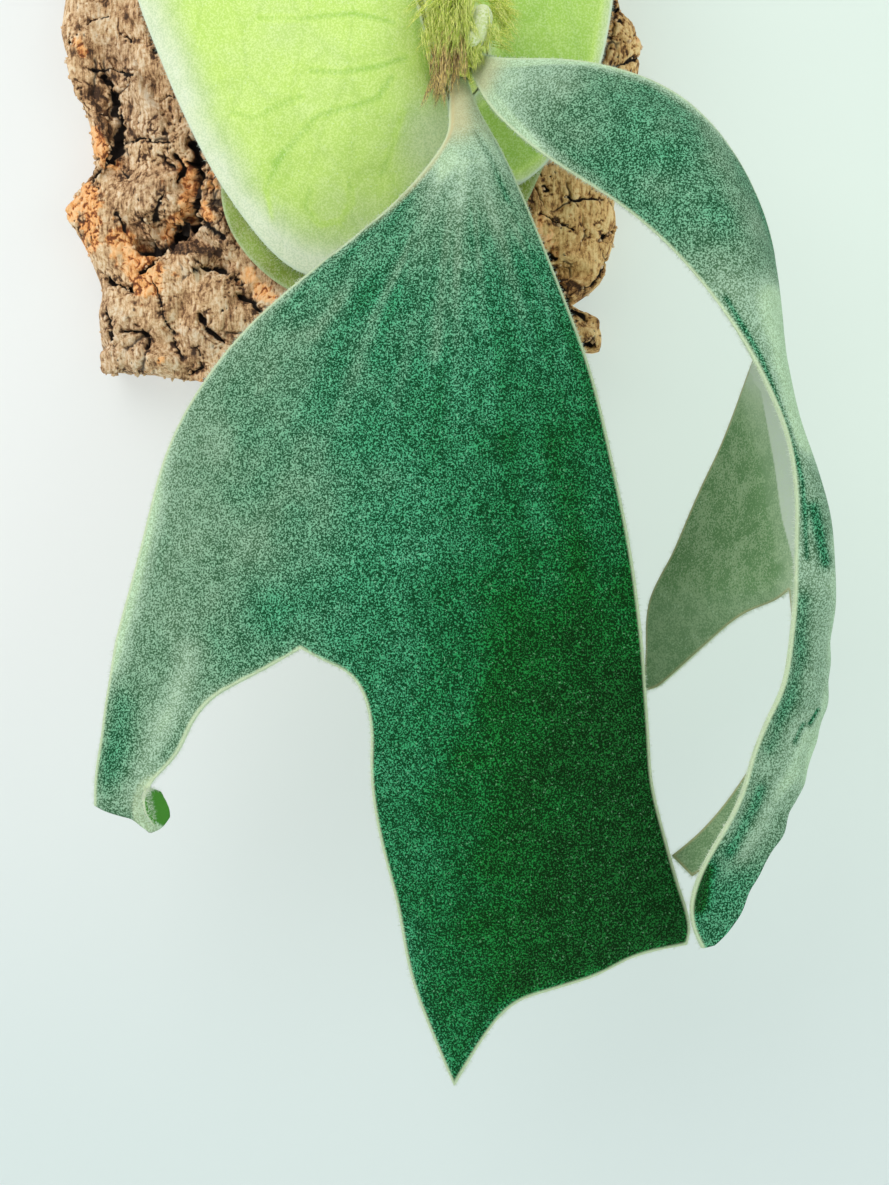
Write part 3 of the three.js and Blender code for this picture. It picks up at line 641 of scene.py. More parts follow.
# %% Main frond
MAIN_ROOT = Vector((36, -78, -40))
MAIN_MARKS = [  # half width, how much paler, and the line's points, in mm
    (4.5, 0.20, [(-47, -208), (-52, -224), (-58, -234), (-61, -244), (-64, -252)]),
    (9.0, -0.09, [(-38, -203), (-28, -201), (-12, -196)]),
    (1.6, -0.10, [(-49, -231), (-54, -240)]),
    (3.0, 0.10, [(30, -60), (8, -92), (-10, -112)]),
    (2.0, 0.12, [(32, -58), (18, -90), (8, -108)]),
    (2.0, 0.10, [(36, -60), (33, -92), (28, -120)]),
    (2.5, 0.08, [(40, -60), (50, -92), (56, -120)]),
    (5.0, -0.10, [(-68, -225), (-72, -245)]),
    # painted shade: a dark line where a crease beside the stalk lies in shadow
    (1.0, -0.16, [(39.5, -49), (45, -61), (49, -71)]),
]
CURL_X, CURL_Z = -57.5, -255.5  # the middle of the curled lobe


def main_relief(p, away, under):
    out = p - MAIN_ROOT
    reach = out.length
    turn = math.atan2(out.x, -out.z)
    ribs = math.sin(turn * 15 + 0.5 * math.sin(turn * 7)) * ease(reach, 8, 30) * ease(reach, 150, 60)
    rise = (0.35 * ribs + 0.5 * noise.noise(p / 22)) * ease(away, 0.3, 4) * (-1 if under else 1)
    pale = 0.42 + 0.06 * noise.noise(p / 14) + marked(p.x, p.z, MAIN_MARKS)
    # broad changes, painted light and shade as well as felt: paler to the left and towards the root, darker
    # towards the lower right, greener in the lobes
    pale += 0.27 * (45 - max(-52, min(45, p.x))) / 97 - 0.14 * ease(p.x, 20, 85) * ease(p.z, -60, -110)
    pale -= 0.30 * ease(p.z, -115, -240) * ease(p.x, -62, 55)
    pale += 0.16 * ease(p.z, -140, -80) + 0.30 * ease(reach, 50, 14)
    pale -= 0.08 * ease(p.z, -200, -235) * ease(p.x, -40, -65)
    # pale margins: the felt, and on the left, where the blade curves back, painted sheen
    pale += 0.12 * ease(away, 4, 0.5) * ease(p.x, 0, -30)
    pale += 0.30 * ease(away, 9, 0.5) * ease(p.z, -130, -175) * ease(p.z, -224, -205) * ease(p.x, -50, -58)
    pale += 0.15 * ease(away, 4, 0.5) * ease(p.z, -275, -300)
    # strands that run out from the root, and darker places beside the stalk
    strands = noise.noise(Vector((turn * 24, reach / 70, 0.5)))
    pale += 0.10 * strands * ease(reach, 24, 50) * ease(reach, 190, 80)
    pale -= 0.08 * ease(reach, 40, 68) * ease(reach, 140, 100)
    pale -= 0.20 * ease(turn, -0.08, -0.45) * ease(reach, 18, 36) * ease(reach, 98, 62) * ease(away, 0.5, 4)
    # the curled lobe, pale outside where it turns away (felt with painted sheen), with its mouth painted
    # vivid green for light shining through the leaf; and the tan stalk
    right, up = p.x - CURL_X, p.z - CURL_Z
    curl = math.hypot(right, up * 0.7)
    curled = ease(curl, 8.2, 6.8)
    rise *= ease(curl, 6, 9)
    mouth = ease(math.hypot((right - 1.5 + 0.3 * up) * 1.5, up), 6.2, 5.4)
    tan = 0.75 * ease(reach, 20, 7) * (0.4 + 0.6 * ease(p.x, 41, 35))
    tan += 0.75 * ease(away, 3, 0.5) * ease(reach, 58, 24) * ease(p.x, 38, 30)
    return rise, max(pale, 0.92 * curled), tan + 0.12 * curled - 1.4 * mouth


put_on_leaf("fertile_frond_main", main_relief, "fertile_leaf", *frond_finishes)

# %% Side frond
SIDE_ROOT = Vector((42, -72, -30))
SIDE_MARKS = [  # half width, how much paler, and the line's points, in mm
    (5.0, 0.16, [(110, -54), (121, -82)]),
    (5.5, 0.30, [(126, -103), (130, -122), (136, -145)]),
    # painted shade: a thin dark line in the fold of the blade
    (0.9, -0.32, [(112, -104), (122, -122), (129, -142), (133, -158), (134.5, -180)]),
    (2.2, -0.40, [(136.3, -165.7), (140.4, -181)]),
    (2.8, -0.24, [(133.6, -192), (133.6, -210), (130, -221.6), (125, -235)]),
    (2.4, -0.28, [(122.8, -248), (118.4, -258.4), (114, -265.7)]),
    (2.5, -0.60, [(105, -282), (107, -271.6)]),
    (3.0, 0.14, [(136, -232), (131.6, -245), (127, -252), (121.3, -261.3), (118, -267)]),
    (2.5, 0.16, [(143, -176), (144.5, -206), (141, -232), (137, -246)]),
    (0.7, -0.60, [(140, -224.5), (138.2, -228.7)]),
    (0.8, -0.40, [(136, -229), (133, -234)]),
]
FOLD_LINE = [(122.8, -113), (128.2, -128.4), (130.9, -148.7), (133.1, -167.4), (135.9, -181.4)]
LOWER_FOLD = 137.5  # where the fold runs on, straight down
BEFORE_FOLD = -9.0  # a place well to the left of the fold


def fold_side(x, z):
    """How far a place is to the right of the fold behind the side frond."""
    for (x0, z0), (x1, z1) in zip(FOLD_LINE, FOLD_LINE[1:]):
        if z0 >= z >= z1:
            return x - (x0 + (x1 - x0) * (z0 - z) / (z0 - z1))
    return x - LOWER_FOLD if z < FOLD_LINE[-1][1] else BEFORE_FOLD


def side_relief(p, away, under):
    out = p - SIDE_ROOT
    reach = out.length
    if under:
        right = fold_side(p.x, p.z)
        rise = 0.4 * noise.noise(p / 15) * ease(away, 0.3, 4)
        rise += 0.5 * ease(right, -0.6, 0.6) * ease(away, 0.3, 2)
        # painted light and shade: the under face is darker left of the fold and paler to its right, a
        # boundary of light across the lobe
        pale = 0.28 + 0.6 * ease(right, -0.4, 0.4) + 0.34 * ease(right, -9, -1)
        pale += 0.28 * ease(p.z, -172, -195) + 0.34 * ease(p.z, -150, -116)
        return rise, pale, 0.0
    ribs = math.sin(math.atan2(out.x, -out.z) * 17) * ease(reach, 8, 30) * ease(reach, 120, 60)
    marks = marked(p.x, p.z, SIDE_MARKS)
    waves = 1.1 * noise.noise(p / 9) * ease(p.z, -190, -220)
    waves += 1.2 * max(-0.5, marks) * ease(p.z, -180, -200)
    rise = (0.3 * ribs + 0.4 * noise.noise(p / 20) + waves) * ease(away, 0.3, 4)
    pale = 0.50 + 0.08 * noise.noise(p / 12) + marks
    pale += 0.27 * ease(p.z, -75, -105) - 0.36 * ease(p.z, -252, -282)
    pale += 0.42 * ease(reach, 56, 12) + 0.3 * ease(away, 5, 0.5) * ease(p.z, -75, -45)
    pale += 0.12 * ease(away, 6, 1) * ease(reach, 90, 50)
    return rise, pale, 0.55 * ease(reach, 16, 5)


put_on_leaf("fertile_frond_side", side_relief, "fertile_leaf", *frond_finishes)

# %% [markdown]
# ## Shield fronds
# The shields are flat round leaves that clasp the slab and hold the moss. Young ones are lime green in
# the middle and fade to a whitish bloom at the margin, over a faint net of veins; on the left shield a
# broad band of it is partly painted sheen, where the shield curves away.

# %% Greens of a shield
SHIELD_GREENS = [
    (0.0, tone(0.68, 0.84, 0.38)),
    (0.35, tone(0.82, 0.93, 0.49)),
    (0.65, tone(0.81, 0.89, 0.62)),
    (1.0, tone(0.90, 0.93, 0.83)),
]
extra = {"Deep": 0.0, "Dark": (0.13, 0.34, 0.03)}
shield_green, given, result, level, limes = new_green("shield_green", extra, 45, 4, 0.08, SHIELD_GREENS)
limes = blend_colours(given["Deep"], limes, given["Dark"])
net = cells(object_place(scale=(1, 0.4, 0.55)), 75, feature="DISTANCE_TO_EDGE")
net = soft_step(net, 0.0, 0.10, 0.10, 0.0)
limes = blend_colours(net, limes, tone(0.45, 0.66, 0.20))
plug(result["Leaf"], blend_colours(0.16, limes, tone(0.40, 0.65, 0.10)))
plug(result["Hair"], blend_colours(0.18, limes, tone(0.98, 1.0, 0.85)))
plug(result["Cover"], soft_step(level, 0.0, 1.0, 0.45, 0.6))
print("effect:", shield_green.name)


# %% Shield finishes
def shield_finish(name, dark, rim):
    """A finish for all faces of a shield: dark is its tone where it is deep, rim how pale its margin is."""
    finish, inputs = new_finish(name, 0.75, Sheen_Weight=0.08, Specular_IOR_Level=0.15)
    colour = green_coat(inputs, shield_green, 1700.0, (0.3, 0.25), Dark=dark)
    colour = pale_margin(colour, 1.4, rim, tone(0.87, 0.92, 0.82))
    plug(inputs["Base Color"], colour)
    return finish


lime_finish = shield_finish("shield_felt", tone(0.40, 0.62, 0.18), 1.0)
old_finish = shield_finish("old_shield_felt", tone(0.42, 0.44, 0.14), 0.25)
print("shield finishes:", lime_finish.name, old_finish.name)


# %% The three shields
def puffed(p, away, under):
    swell = 1.0 * noise.noise(p / 18) + 0.35 * noise.noise(p / 6)
    return swell * ease(away, 0.4, 6) * (-1 if under else 1)


NEAR_BUD = [(21, 4), (22.5, -12), (25, -23), (27, -30)]  # where the bud shades the left shield
SHIELD_VEINS = [  # half width, how much paler, and the line's points, in mm
    (0.8, -0.30, [(-29, -8), (-15, -9.3), (1.6, -8.8), (14, -11.4)]),
    (0.8, -0.36, [(-12, -25.6), (-2, -26.5), (10, -24.8), (18, -22)]),
    (0.8, -0.34, [(-24.6, -53), (-18, -47), (-10.3, -39), (1.6, -36.6), (9.2, -34), (13.4, -28)]),
    (0.8, -0.28, [(-37.5, -36.6), (-30.5, -39), (-23.9, -35.8), (-15.3, -33.2)]),
    (0.8, -0.28, [(-25.5, -69.6), (-27.2, -60.3), (-21.4, -50.2)]),
    (0.8, -0.26, [(-12.8, -61), (-14.5, -67), (-10.3, -72), (-3.5, -71.4), (0.4, -65.3), (-0.2, -60.3)]),
    (0.8, -0.26, [(17, -38), (13.4, -48.5), (10, -57)]),
]


def left_shield_relief(p, away, under):
    # painted light: the lower right is painted paler, against the shadow that the stalk casts there
    pale = 0.38 + 0.06 * noise.noise(p / 14) + 0.34 * ease(p.x, 10, 26) * ease(p.z, -20, -45)
    # a broad whitish band along the left margin: the felt, and painted sheen where the shield curves away
    pale += 0.62 * ease(away, 18, 0) * ease(p.x, 16, -18) + 0.16 * ease(p.z, -55, -85)
    pale += marked(p.x, p.z, SHIELD_VEINS)
    deep = 0.55 * bell(line_distance(p.x, p.z, NEAR_BUD), 2.6)
    return puffed(p, away, under), pale, deep


def right_shield_relief(p, away, under):
    pale = 0.15 + 0.55 * ease(away, 6, 0.8) + 0.1 * noise.noise(p / 14)
    deep = 0.16 * ease(away, 1, 7)
    return puffed(p, away, under), pale, deep


def old_shield_relief(p, away, under):
    return puffed(p, away, under), 0.36 + 0.2 * ease(away, 4, 0.5), 0.68 + 0.2 * noise.noise(p / 9)


for node, relief, slot, finish in (
    ("shield_frond_left", left_shield_relief, "shield_leaf", lime_finish),
    ("shield_frond_right", right_shield_relief, "shield_leaf", lime_finish),
    ("shield_frond_old", old_shield_relief, "old_leaf", old_finish),
):
    put_on_leaf(node, relief, slot, finish, finish, finish)

# %% [markdown]
# ## Cork bark
# Cork bark is a mosaic of corky plates with fine upright fibres, parted by dark cracks, and rough and
# orange where it has broken. The slab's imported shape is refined, more finely where it shows, and then
# carved point by point: plates at slightly different heights, the large cracks, crumbs and fibres.

# %% Cracks, holes and orange patches
CRACKS = [  # half width, depth and then the line's points, all in mm
    (1.6, 6, [(-83.8, -17.5), (-80.5, -24.1), (-78.5, -31.5), (-77.6, -38.7),
              (-79.7, -45.3), (-82.5, -49.5)]),
    (0.5, 2, [(-88, -15.5), (-81.4, -15.3), (-75.6, -18.3), (-73.8, -19.6)]),
    (0.4, 1.5, [(-89, -0.8), (-87.7, 0.5), (-82.4, 1.2)]),
    (0.45, 2, [(-77.4, -4.7), (-74.1, -7)]),
    (0.3, 1, [(-64.6, -26.8), (-62, -26.2), (-59, -27.2)]),
    (0.45, 2, [(-73.8, -40), (-69.2, -39.7), (-64.9, -41.2), (-61.1, -42)]),
    (1.4, 7, [(-53.4, -42), (-51, -47.9), (-50.5, -53.6), (-51.8, -60.2), (-53, -66.8), (-51.8, -69.1)]),
    (2.0, 6, [(-54.2, -68.4), (-59.1, -73.3), (-64.1, -75.8), (-71.1, -76.6)]),
    (0.8, 4, [(-59.8, -45.8), (-57.7, -47.5), (-56.8, -50.5), (-58.2, -54)]),
    (0.7, 4, [(-55.6, -48), (-52.3, -48)]),
    (0.4, 2, [(-63.2, -45.9), (-59.8, -49.6)]),
    (0.35, 1.5, [(-77.4, -49.6), (-75.4, -52.6)]),
    (1.0, 2.5, [(-62.4, -59.3), (-64.9, -62.6), (-65.7, -66.8), (-70.6, -67.6)]),
    (0.5, 2, [(-78.1, -64.1), (-75.6, -70)]),
    (1.0, 4, [(-85.4, -50.3), (-87, -52)]),
    (0.8, 4, [(-70.5, -84.3), (-67.8, -82.4), (-65.5, -79.6)]),
    (1.0, 5, [(-81, -85.9), (-78, -89), (-73.8, -90.2)]),
    (1.0, 4, [(-49.7, -68), (-46, -71.8), (-42.8, -73.7)]),
    (0.8, 4, [(-51.7, -83.9), (-46, -83.2), (-42.1, -84.2)]),
    (0.8, 3, [(-40.1, -86.2), (-36.8, -89.2)]),
    (1.0, 4, [(-36.5, -92.8), (-33, -94), (-30.9, -96.8)]),
    (0.9, 5, [(-50.1, -98.8), (-46.8, -103.7), (-42.8, -108.6)]),
    (0.5, 2, [(-51.8, -109.3), (-49.4, -115.9), (-54.3, -118.4)]),
    (0.4, 2, [(-66.5, -87.6), (-64, -94), (-59.6, -105), (-57, -112)]),
    (0.6, 3, [(-82.5, -97.1), (-80.5, -102.7), (-79.7, -109.3)]),
    (0.6, 3, [(-75.6, -103.7), (-69.8, -104.4), (-67.9, -106), (-69, -109.3)]),
    (0.8, 3, [(63.0, -56.0), (63.6, -56.6)]),
    (0.5, 2, [(69.6, -58.3), (73.3, -59.7), (77.7, -59.3), (82.5, -59.7)]),
    (0.35, 2, [(61.5, -65.6), (67, -67.4), (72.6, -70.4)]),
    (0.6, 3, [(80.6, -73.4), (82.9, -71.2), (86.6, -70.4)]),
    (1.5, 5, [(64.4, -78.6), (66, -79.6)]),
    (0.8, 4, [(66, -82.9), (69.6, -89.5), (70.4, -97)]),
    (0.6, 3, [(72.6, -91), (79.2, -88.1), (84.4, -80)]),
    (1.2, 4, [(70.7, -98.4), (75.5, -98.4)]),
    (1.2, 4, [(74, -107.3), (79.2, -108)]),
    (1.8, 6, [(85.9, 4.8), (94, 4)]),
    (0.5, 2, [(87.4, -0.1), (89.5, -0.2)]),
    (0.6, 3, [(86.6, -15.9), (91.8, -12.9), (95.8, -11.5)]),
    (1.5, 6, [(-66.4, -7.2), (-65.0, -8.2)]),
    (0.7, 3, [(-64.9, -11.7), (-64.5, -12)]),
    (0.8, 3, [(-95.3, -6.7), (-94.9, -7.2)]),
]
ORANGE = [  # half width, strength and then the line's points, all in mm
    (2.2, 0.55, [(-92, -7), (-90, -12)]),
    (3.4, 1.1, [(-88, -37), (-85.5, -41), (-82, -47)]),
    (2.6, 1.2, [(-94.5, -60), (-94, -64)]),
    (4.5, 0.8, [(-88, -56), (-87, -64), (-88, -73)]),
    (3.0, 1.2, [(-56, -50.6), (-53.5, -57.2), (-55, -65.5), (-62.3, -71)]),
    (5.0, 1.2, [(-77, -73.7), (-70.5, -81), (-67.2, -87.6)]),
    (2.2, 0.6, [(-46.1, -52), (-46.1, -57)]),
    (2.8, 0.7, [(-36.2, -85), (-31, -90), (-27, -94)]),
    (2.6, 0.7, [(-48.7, -64), (-48, -67)]),
    (1.3, 0.9, [(-63.9, -113.6), (-63, -114)]),
    (1.6, 0.9, [(-66, -121), (-50, -122)]),
    (3.4, 0.6, [(62.5, -70), (65.5, -75)]),
    (1.6, 0.6, [(96, -6), (96, -11)]),
    (7.0, 1.0, [(70, 34), (70, 46)]),
    (6.0, 1.0, [(-80, 79), (-80, 89)]),
]
FURROWS = [  # the same, for broad, brown and crumbling furrows
    (3.4, 2.2, [(-87, -23), (-84.5, -28), (-84, -33), (-83, -38)]),
    (2.2, 0.9, [(-60, -77), (-52, -76), (-45, -78)]),
    (3.0, 1.2, [(67, -84), (74, -90), (80, -93)]),
]
print(len(CRACKS), "cracks,", len(ORANGE), "orange patches")


# %% What the bark is like at a point
PLATE = Vector((13, 60, 20))  # about how wide, deep and tall a plate is, in mm
GREY_X, GREY_Z, GREY_RADIUS = -69, -58, 9  # the greyest plate, in mm
CRACK_REACH = 40, 45  # no crack goes further right or up from its first point, in mm


def bark_detail(p):
    """The bark's rise in mm, then how cracked, orange, darkened by painted shade in its hollows, grey and
    honey-brown it is, at p in mm.
    """
    w = p + noise.noise_vector(p / 7) * 1.5 + noise.noise_vector(p / 2.0) * 0.6
    steps, middles = noise.voronoi(Vector((w.x / PLATE.x, w.y / PLATE.y, w.z / PLATE.z)))
    border = (steps[1] - steps[0]) * PLATE.x / 2
    chance = noise.noise(middles[0] * 3.7)
    crack = 0.75 * bell(border, 0.3) * ease(noise.noise(p / 11), -0.1, 0.3)
    rise = 1.3 * chance * ease(border, 0, 0.8) - 1.4 * crack
    torn = 0.0
    for half, depth, points in CRACKS:
        if abs(w.x - points[0][0]) < CRACK_REACH[0] and abs(w.z - points[0][1]) < CRACK_REACH[1]:
            away = line_distance(w.x, w.z, points)
            if away < 5 * half:
                wide = half * (0.85 + 0.9 * max(-0.5, noise.noise(p / 2.6 + Vector((5, 1, 2)))))
                groove = bell(away, wide)
                rise -= depth * groove
                crack = max(crack, ease(groove, 0.15, 0.6))
                torn = max(torn, bell(away, 2.2 * half + 1))
    furrow = 0.0
    for half, depth, points in FURROWS:
        groove = bell(line_distance(w.x, w.z, points), half)
        rise -= depth * groove
        furrow = max(furrow, ease(groove, 0.3, 0.8))
    orange = max(marked(w.x, w.z, [patch]) for patch in ORANGE)
    orange = ease(orange + 0.45 * noise.noise(p / 3.5) + 0.25 * noise.noise(p / 1.2), 0.30, 0.55)
    torn = max(torn, orange, furrow, ease(noise.noise(p / 17 + Vector((8, 2, 4))), 0.12, 0.42))
    lumps = noise.turbulence(w / 3.4, 4, True)
    crumbs = noise.turbulence(p / 1.3 + Vector((4, 7, 1)), 2, True)
    lean = 0.4 * min(0, p.z + 88) * ease(p.x, 0, -20)
    fibres = noise.noise(Vector(((w.x + lean) / 0.75, p.y / 3, p.z / 6)))
    rise += (0.3 + 1.1 * torn) * (lumps - 0.4) + (0.08 + 0.4 * torn) * (crumbs - 0.4)
    rise += 0.2 * fibres * (1 - torn)
    pits = noise.noise(Vector((p.x / 0.9, p.y, p.z / 1.3)) + Vector((9, 3, 5)))
    pit = ease(pits, 0.42, 0.6) * ease(noise.noise(p / 9 + Vector((3, 3, 3))), -0.2, 0.3)
    rise -= 0.6 * pit
    honey = ease(p.x, 20, 60)
    # painted shade: low places among the lumps and fibres, and partly the brown furrows, are darkened; the
    # right part gets less of it, a painted light against the fronds' shadows there
    hollow_shade = (0.3 + 0.8 * torn) * ease(lumps + 0.35 * crumbs, 0.52, 0.22) + 0.25 * ease(fibres, 0.1, -0.4)
    hollow_shade += 0.6 * furrow - 0.12 * honey
    grey = max(bell(math.hypot(p.x - GREY_X, p.z - GREY_Z), GREY_RADIUS), ease(chance, 0.1, 0.35))
    return rise, (max(crack, 0.9 * pit), orange, hollow_shade, grey, honey)


# %% Where the bark shows
WIDEST_Z = -87  # where the left part of the bark shows furthest to the right, in mm


def shown_bark(face, top):
    """True for a face of the front below top that no leaf hides in the picture, give or take some mm."""
    middle = face.calc_center_median() / MM
    lower = middle.z <= WIDEST_Z
    left = -16 + 0.9 * (middle.z - WIDEST_Z) if lower else -57 + 0.43 * (8 - middle.z)
    right = 58 if middle.z > -30 else 54
    covered = left <= middle.x <= right
    return not covered and middle.z < top and face.normal.y < -0.12


# %% Refine and carve
BARK_DEGREES = 60  # edges and corners sharper than this stay sharp
BARK_STEPS = [(2.4, 14), (1.2, 9), (0.64, 6)]  # longest edge and highest place of each refinement, in mm

shape = merged_copy("cork_slab")
crease(shape, BARK_DEGREES, BARK_DEGREES)
bark = refined(shape, "cork_bark", 1)
shape = opened(bark.data)
for longest, top in BARK_STEPS:
    shown = {f for f in shape.faces if shown_bark(f, top)}
    edges = [e for e in shape.edges if e.calc_length() > longest * MM]
    edges = [e for e in edges if not shown.isdisjoint(e.link_faces)]
    bmesh.ops.subdivide_edges(shape, edges=edges, cuts=1, use_grid_fill=True, smooth=0.5)
    shape.normal_update()
    print("bark faces:", len(shape.faces))
layers = [shape.verts.layers.float.new(name) for name in ("crack", "orange", "hollow_shade", "grey", "honey")]
shape.normal_update()
moves = []
for vert in shape.verts:
    p = vert.co / MM
    rise, values = bark_detail(p)
    for layer, value in zip(layers, values):
        vert[layer] = value
    in_front = ease(-p.y, 1.5, 5)
    along = vert.normal * 0.5 + Vector((0, -0.5, 0)) if vert.normal.y < -0.2 else vert.normal * 0.6
    moves.append(along * rise * in_front * MM)
push(shape, moves)
written(shape, bark.data)

# %% Bark finish
bark_finish, inputs = new_finish("cork_surface", 0.85)
place = object_place()
streaks = clouds(object_place(scale=(1, 1, 0.13)), 1000, detail=4, roughness=0.75)
grains = clouds(place, 800, detail=5, roughness=0.8)
broad = clouds(place, 140, detail=5, roughness=0.6)
# painted shade: hollow places darken the tone
shares = [(streaks, 0.58), (grains, 0.45), (broad, 0.48), (painted("hollow_shade"), -0.27)]
shade = -0.225  # brings the sum to where the ramps' tones lie
for part, share in shares:
    shade = calculate("ADD", shade, calculate("MULTIPLY", part, share))
beige = colour_ramp(
    shade,
    (0.30, (0.06, 0.026, 0.012)),
    (0.40, (0.30, 0.15, 0.065)),
    (0.47, (0.59, 0.35, 0.175)),
    (0.54, (0.78, 0.53, 0.305)),
    (0.62, (0.91, 0.72, 0.51)),
)
greyer = blend_colours(1.0, beige, (0.95, 0.98, 1.04), how="MULTIPLY")
beige = blend_colours(painted("grey"), beige, greyer)
honey = blend_colours(1.0, beige, (1.0, 0.90, 0.62), how="MULTIPLY")
beige = blend_colours(painted("honey"), beige, honey)
rusty = colour_ramp(
    shade,
    (0.28, (0.20, 0.055, 0.015)),
    (0.38, (0.60, 0.21, 0.06)),
    (0.46, (0.92, 0.43, 0.14)),
    (0.56, (1.0, 0.60, 0.30)),
)
colour = blend_colours(painted("orange"), beige, rusty)
dark = soft_step(painted("crack"), 0.25, 0.85)
plug(inputs["Base Color"], blend_colours(dark, colour, (0.018, 0.010, 0.007)))
rough = calculate("ADD", streaks, grains)
plug(inputs["Normal"], bump(rough, 0.6, 0.4 * MM))
put_on(bark, "cork", bark_finish, stands_for=["cork_slab"])

# %% [markdown]
# ## Many small copies
# Hairs are hundreds of tiny spikes. An Array modifier makes the copies, all in one place, and then each
# copy's few points are moved to where that hair grows. This keeps every hair a real mesh.


# %% Spikes
SPIKE_SIDES = 3
SPIKE_RINGS = 5  # along a long hair
BLUNT = 0.08  # the least width of a long hair's tip


def spike_width(share):
    return max(BLUNT, share**0.6)


def long_spike_mesh(name):
    """A spike 1 long that is drawn out of a circle, ring by ring."""
    shape = bmesh.new()
    base = bmesh.ops.create_circle(shape, cap_ends=True, segments=SPIKE_SIDES, radius=1)["verts"]
    ring = list(base[0].link_faces)
    for level in range(1, SPIKE_RINGS + 1):
        made = bmesh.ops.extrude_face_region(shape, geom=ring)["geom"]
        bmesh.ops.delete(shape, geom=ring, context="FACES_ONLY")
        ring = [g for g in made if isinstance(g, bmesh.types.BMFace)]
        moved = [g for g in made if isinstance(g, bmesh.types.BMVert)]
        bmesh.ops.translate(shape, verts=moved, vec=(0, 0, 1 / SPIKE_RINGS))
        narrow = spike_width(1 - level / SPIKE_RINGS) / spike_width(1 - (level - 1) / SPIKE_RINGS)
        bmesh.ops.scale(shape, verts=moved, vec=(narrow, narrow, 1))
    return written(shape, bpy.data.meshes.new(name))


def short_spike_mesh(name):
    shape = bmesh.new()
    half_up = Matrix.Translation((0, 0, 0.5))
    bmesh.ops.create_cone(shape, segments=SPIKE_SIDES, radius1=1, radius2=0, depth=1, matrix=half_up)
    return written(shape, bpy.data.meshes.new(name))


short_spike = short_spike_mesh("short_spike")
long_spike = long_spike_mesh("long_spike")
print("spikes:", len(short_spike.vertices), "and", len(long_spike.vertices), "points")


# %% Copies all in one place
def copies_of(template, name, count):
    piece = new_object(name, template)
    array = piece.modifiers.new("copies", "ARRAY")
    array.use_relative_offset = False
    array.use_constant_offset = True
    array.constant_offset_displace = (0, 0, 0)
    array.count = count
    bake_modifiers(piece)
    return piece


def move_points(piece, spots):
    piece.data.vertices.foreach_set("co", spots)
    piece.data.update()


# %% Place each hair
def place_hairs(name, template, hairs):
    """hairs lists for each a root, a start direction, a bend, a length and a radius, in metres."""
    piece = copies_of(template, name, len(hairs))
    outline = [v.co.copy() for v in template.vertices]
    spots = []
    for root, start, bend, length, radius in hairs:
        side = start.orthogonal().normalized()
        other = start.cross(side).normalized()
        for point in outline:
            t = point.z
            middle = root + (start * t + bend * t * t) * length
            spots.extend(middle + (side * point.x + other * point.y) * radius)
    move_points(piece, spots)
    return piece


def scatter(*spreads):
    """A vector of three random numbers that spread round 0."""
    return Vector([random.gauss(0, spread) for spread in spreads])


# %% [markdown]
# ## Downy fringes
# Against the light a staghorn leaf has a soft pale outline, because its hairs stand out past the rim.
# Short spikes along every rim give it.


# %% Fringe along a rim
def chosen_faces(piece, count, wanted):
    """Picks faces by area among those that pass the wanted test."""
    faces = [f for f in piece.data.polygons if wanted(f)]
    return random.choices(faces, weights=[f.area for f in faces], k=count)


def fringe(name, piece, slot, count, finish):
    points = piece.data.vertices
    hairs = []
    for face in chosen_faces(piece, count, lambda f: f.material_index == RIM):
        corners = [points[i].co for i in face.vertices]
        along = random.random()
        first = corners[0].lerp(corners[1], along)
        root = first.lerp(corners[-1].lerp(corners[-2], along), random.random())
        jitter = scatter(0.4, 0.4, 0.4)
        start = (face.normal + jitter).normalized()
        length = random.uniform(0.5, 1.5) * MM
        radius = random.uniform(0.04, 0.07) * MM
        hairs.append((root, start, jitter * 0.3, length, radius))
    put_on(place_hairs(name, short_spike, hairs), slot, finish)


FRINGES = [  # leaf, slot and how many hairs
    ("fertile_frond_main", "fertile_leaf", 9000),
    ("fertile_frond_side", "fertile_leaf", 8000),
    ("shield_frond_left", "shield_leaf", 2500),
    ("shield_frond_right", "shield_leaf", 2500),
]
down_tones = (0.3, tone(0.80, 0.88, 0.78)), (0.7, tone(0.93, 0.96, 0.90))
down_finish = cloudy_finish("pale_down", 0.7, (300, 3), *down_tones, Sheen_Weight=0.2)
random.seed(5)
for source, slot, count in FRINGES:
    fringe(source + "_fringe", bpy.data.objects[source + "_leaf"], slot, count, down_finish)

# %% [markdown]
# ## Growing tip
# The creeping stem ends in a tuft of silky hairs, lime above and brown below. They grow in locks: the
# hairs of a lock start a little apart and meet at its tip, and a fan of locks hangs from each place.


# %% Silk
# The spread between each dark and pale tone is partly the silk's own mix and partly painted highlight and
# shade among the hairs.
lime_tones = (0.40, tone(0.69, 0.79, 0.05)), (0.60, tone(1.0, 1.0, 0.58))
tan_tones = (0.40, tone(0.49, 0.33, 0.06)), (0.60, tone(1.0, 0.88, 0.54))
lime_silk, tan_silk = (
    cloudy_finish(name, 0.42, (2600, 1), *tones, stretch=(1, 1, 0.15), Sheen_Weight=0.3)
    for name, tones in (("lime_silk", lime_tones), ("tan_silk", tan_tones))
)
stem_tip = refined(merged_copy("rhizome_bud"), "stem_tip", 1)
put_on(stem_tip, "rhizome", lime_silk, stands_for=["rhizome_bud"])


# %% Locks of silky hairs
def lock(root, tip, count):
    """A lock of hairs that start near one root, in mm, and run together at one tip."""
    hairs = []
    for _ in range(count):
        start = root + scatter(1.0, 1.0, 1.0)
        end = tip + scatter(0.4, 0.4, 0.9)
        run = end - start
        sag = Vector((0, -random.uniform(0.15, 0.35), 0)) * run.length
        radius = random.uniform(0.09, 0.17) * MM
        hairs.append((start * MM, (run + sag).normalized(), -sag / run.length, run.length * MM, radius))
    return hairs


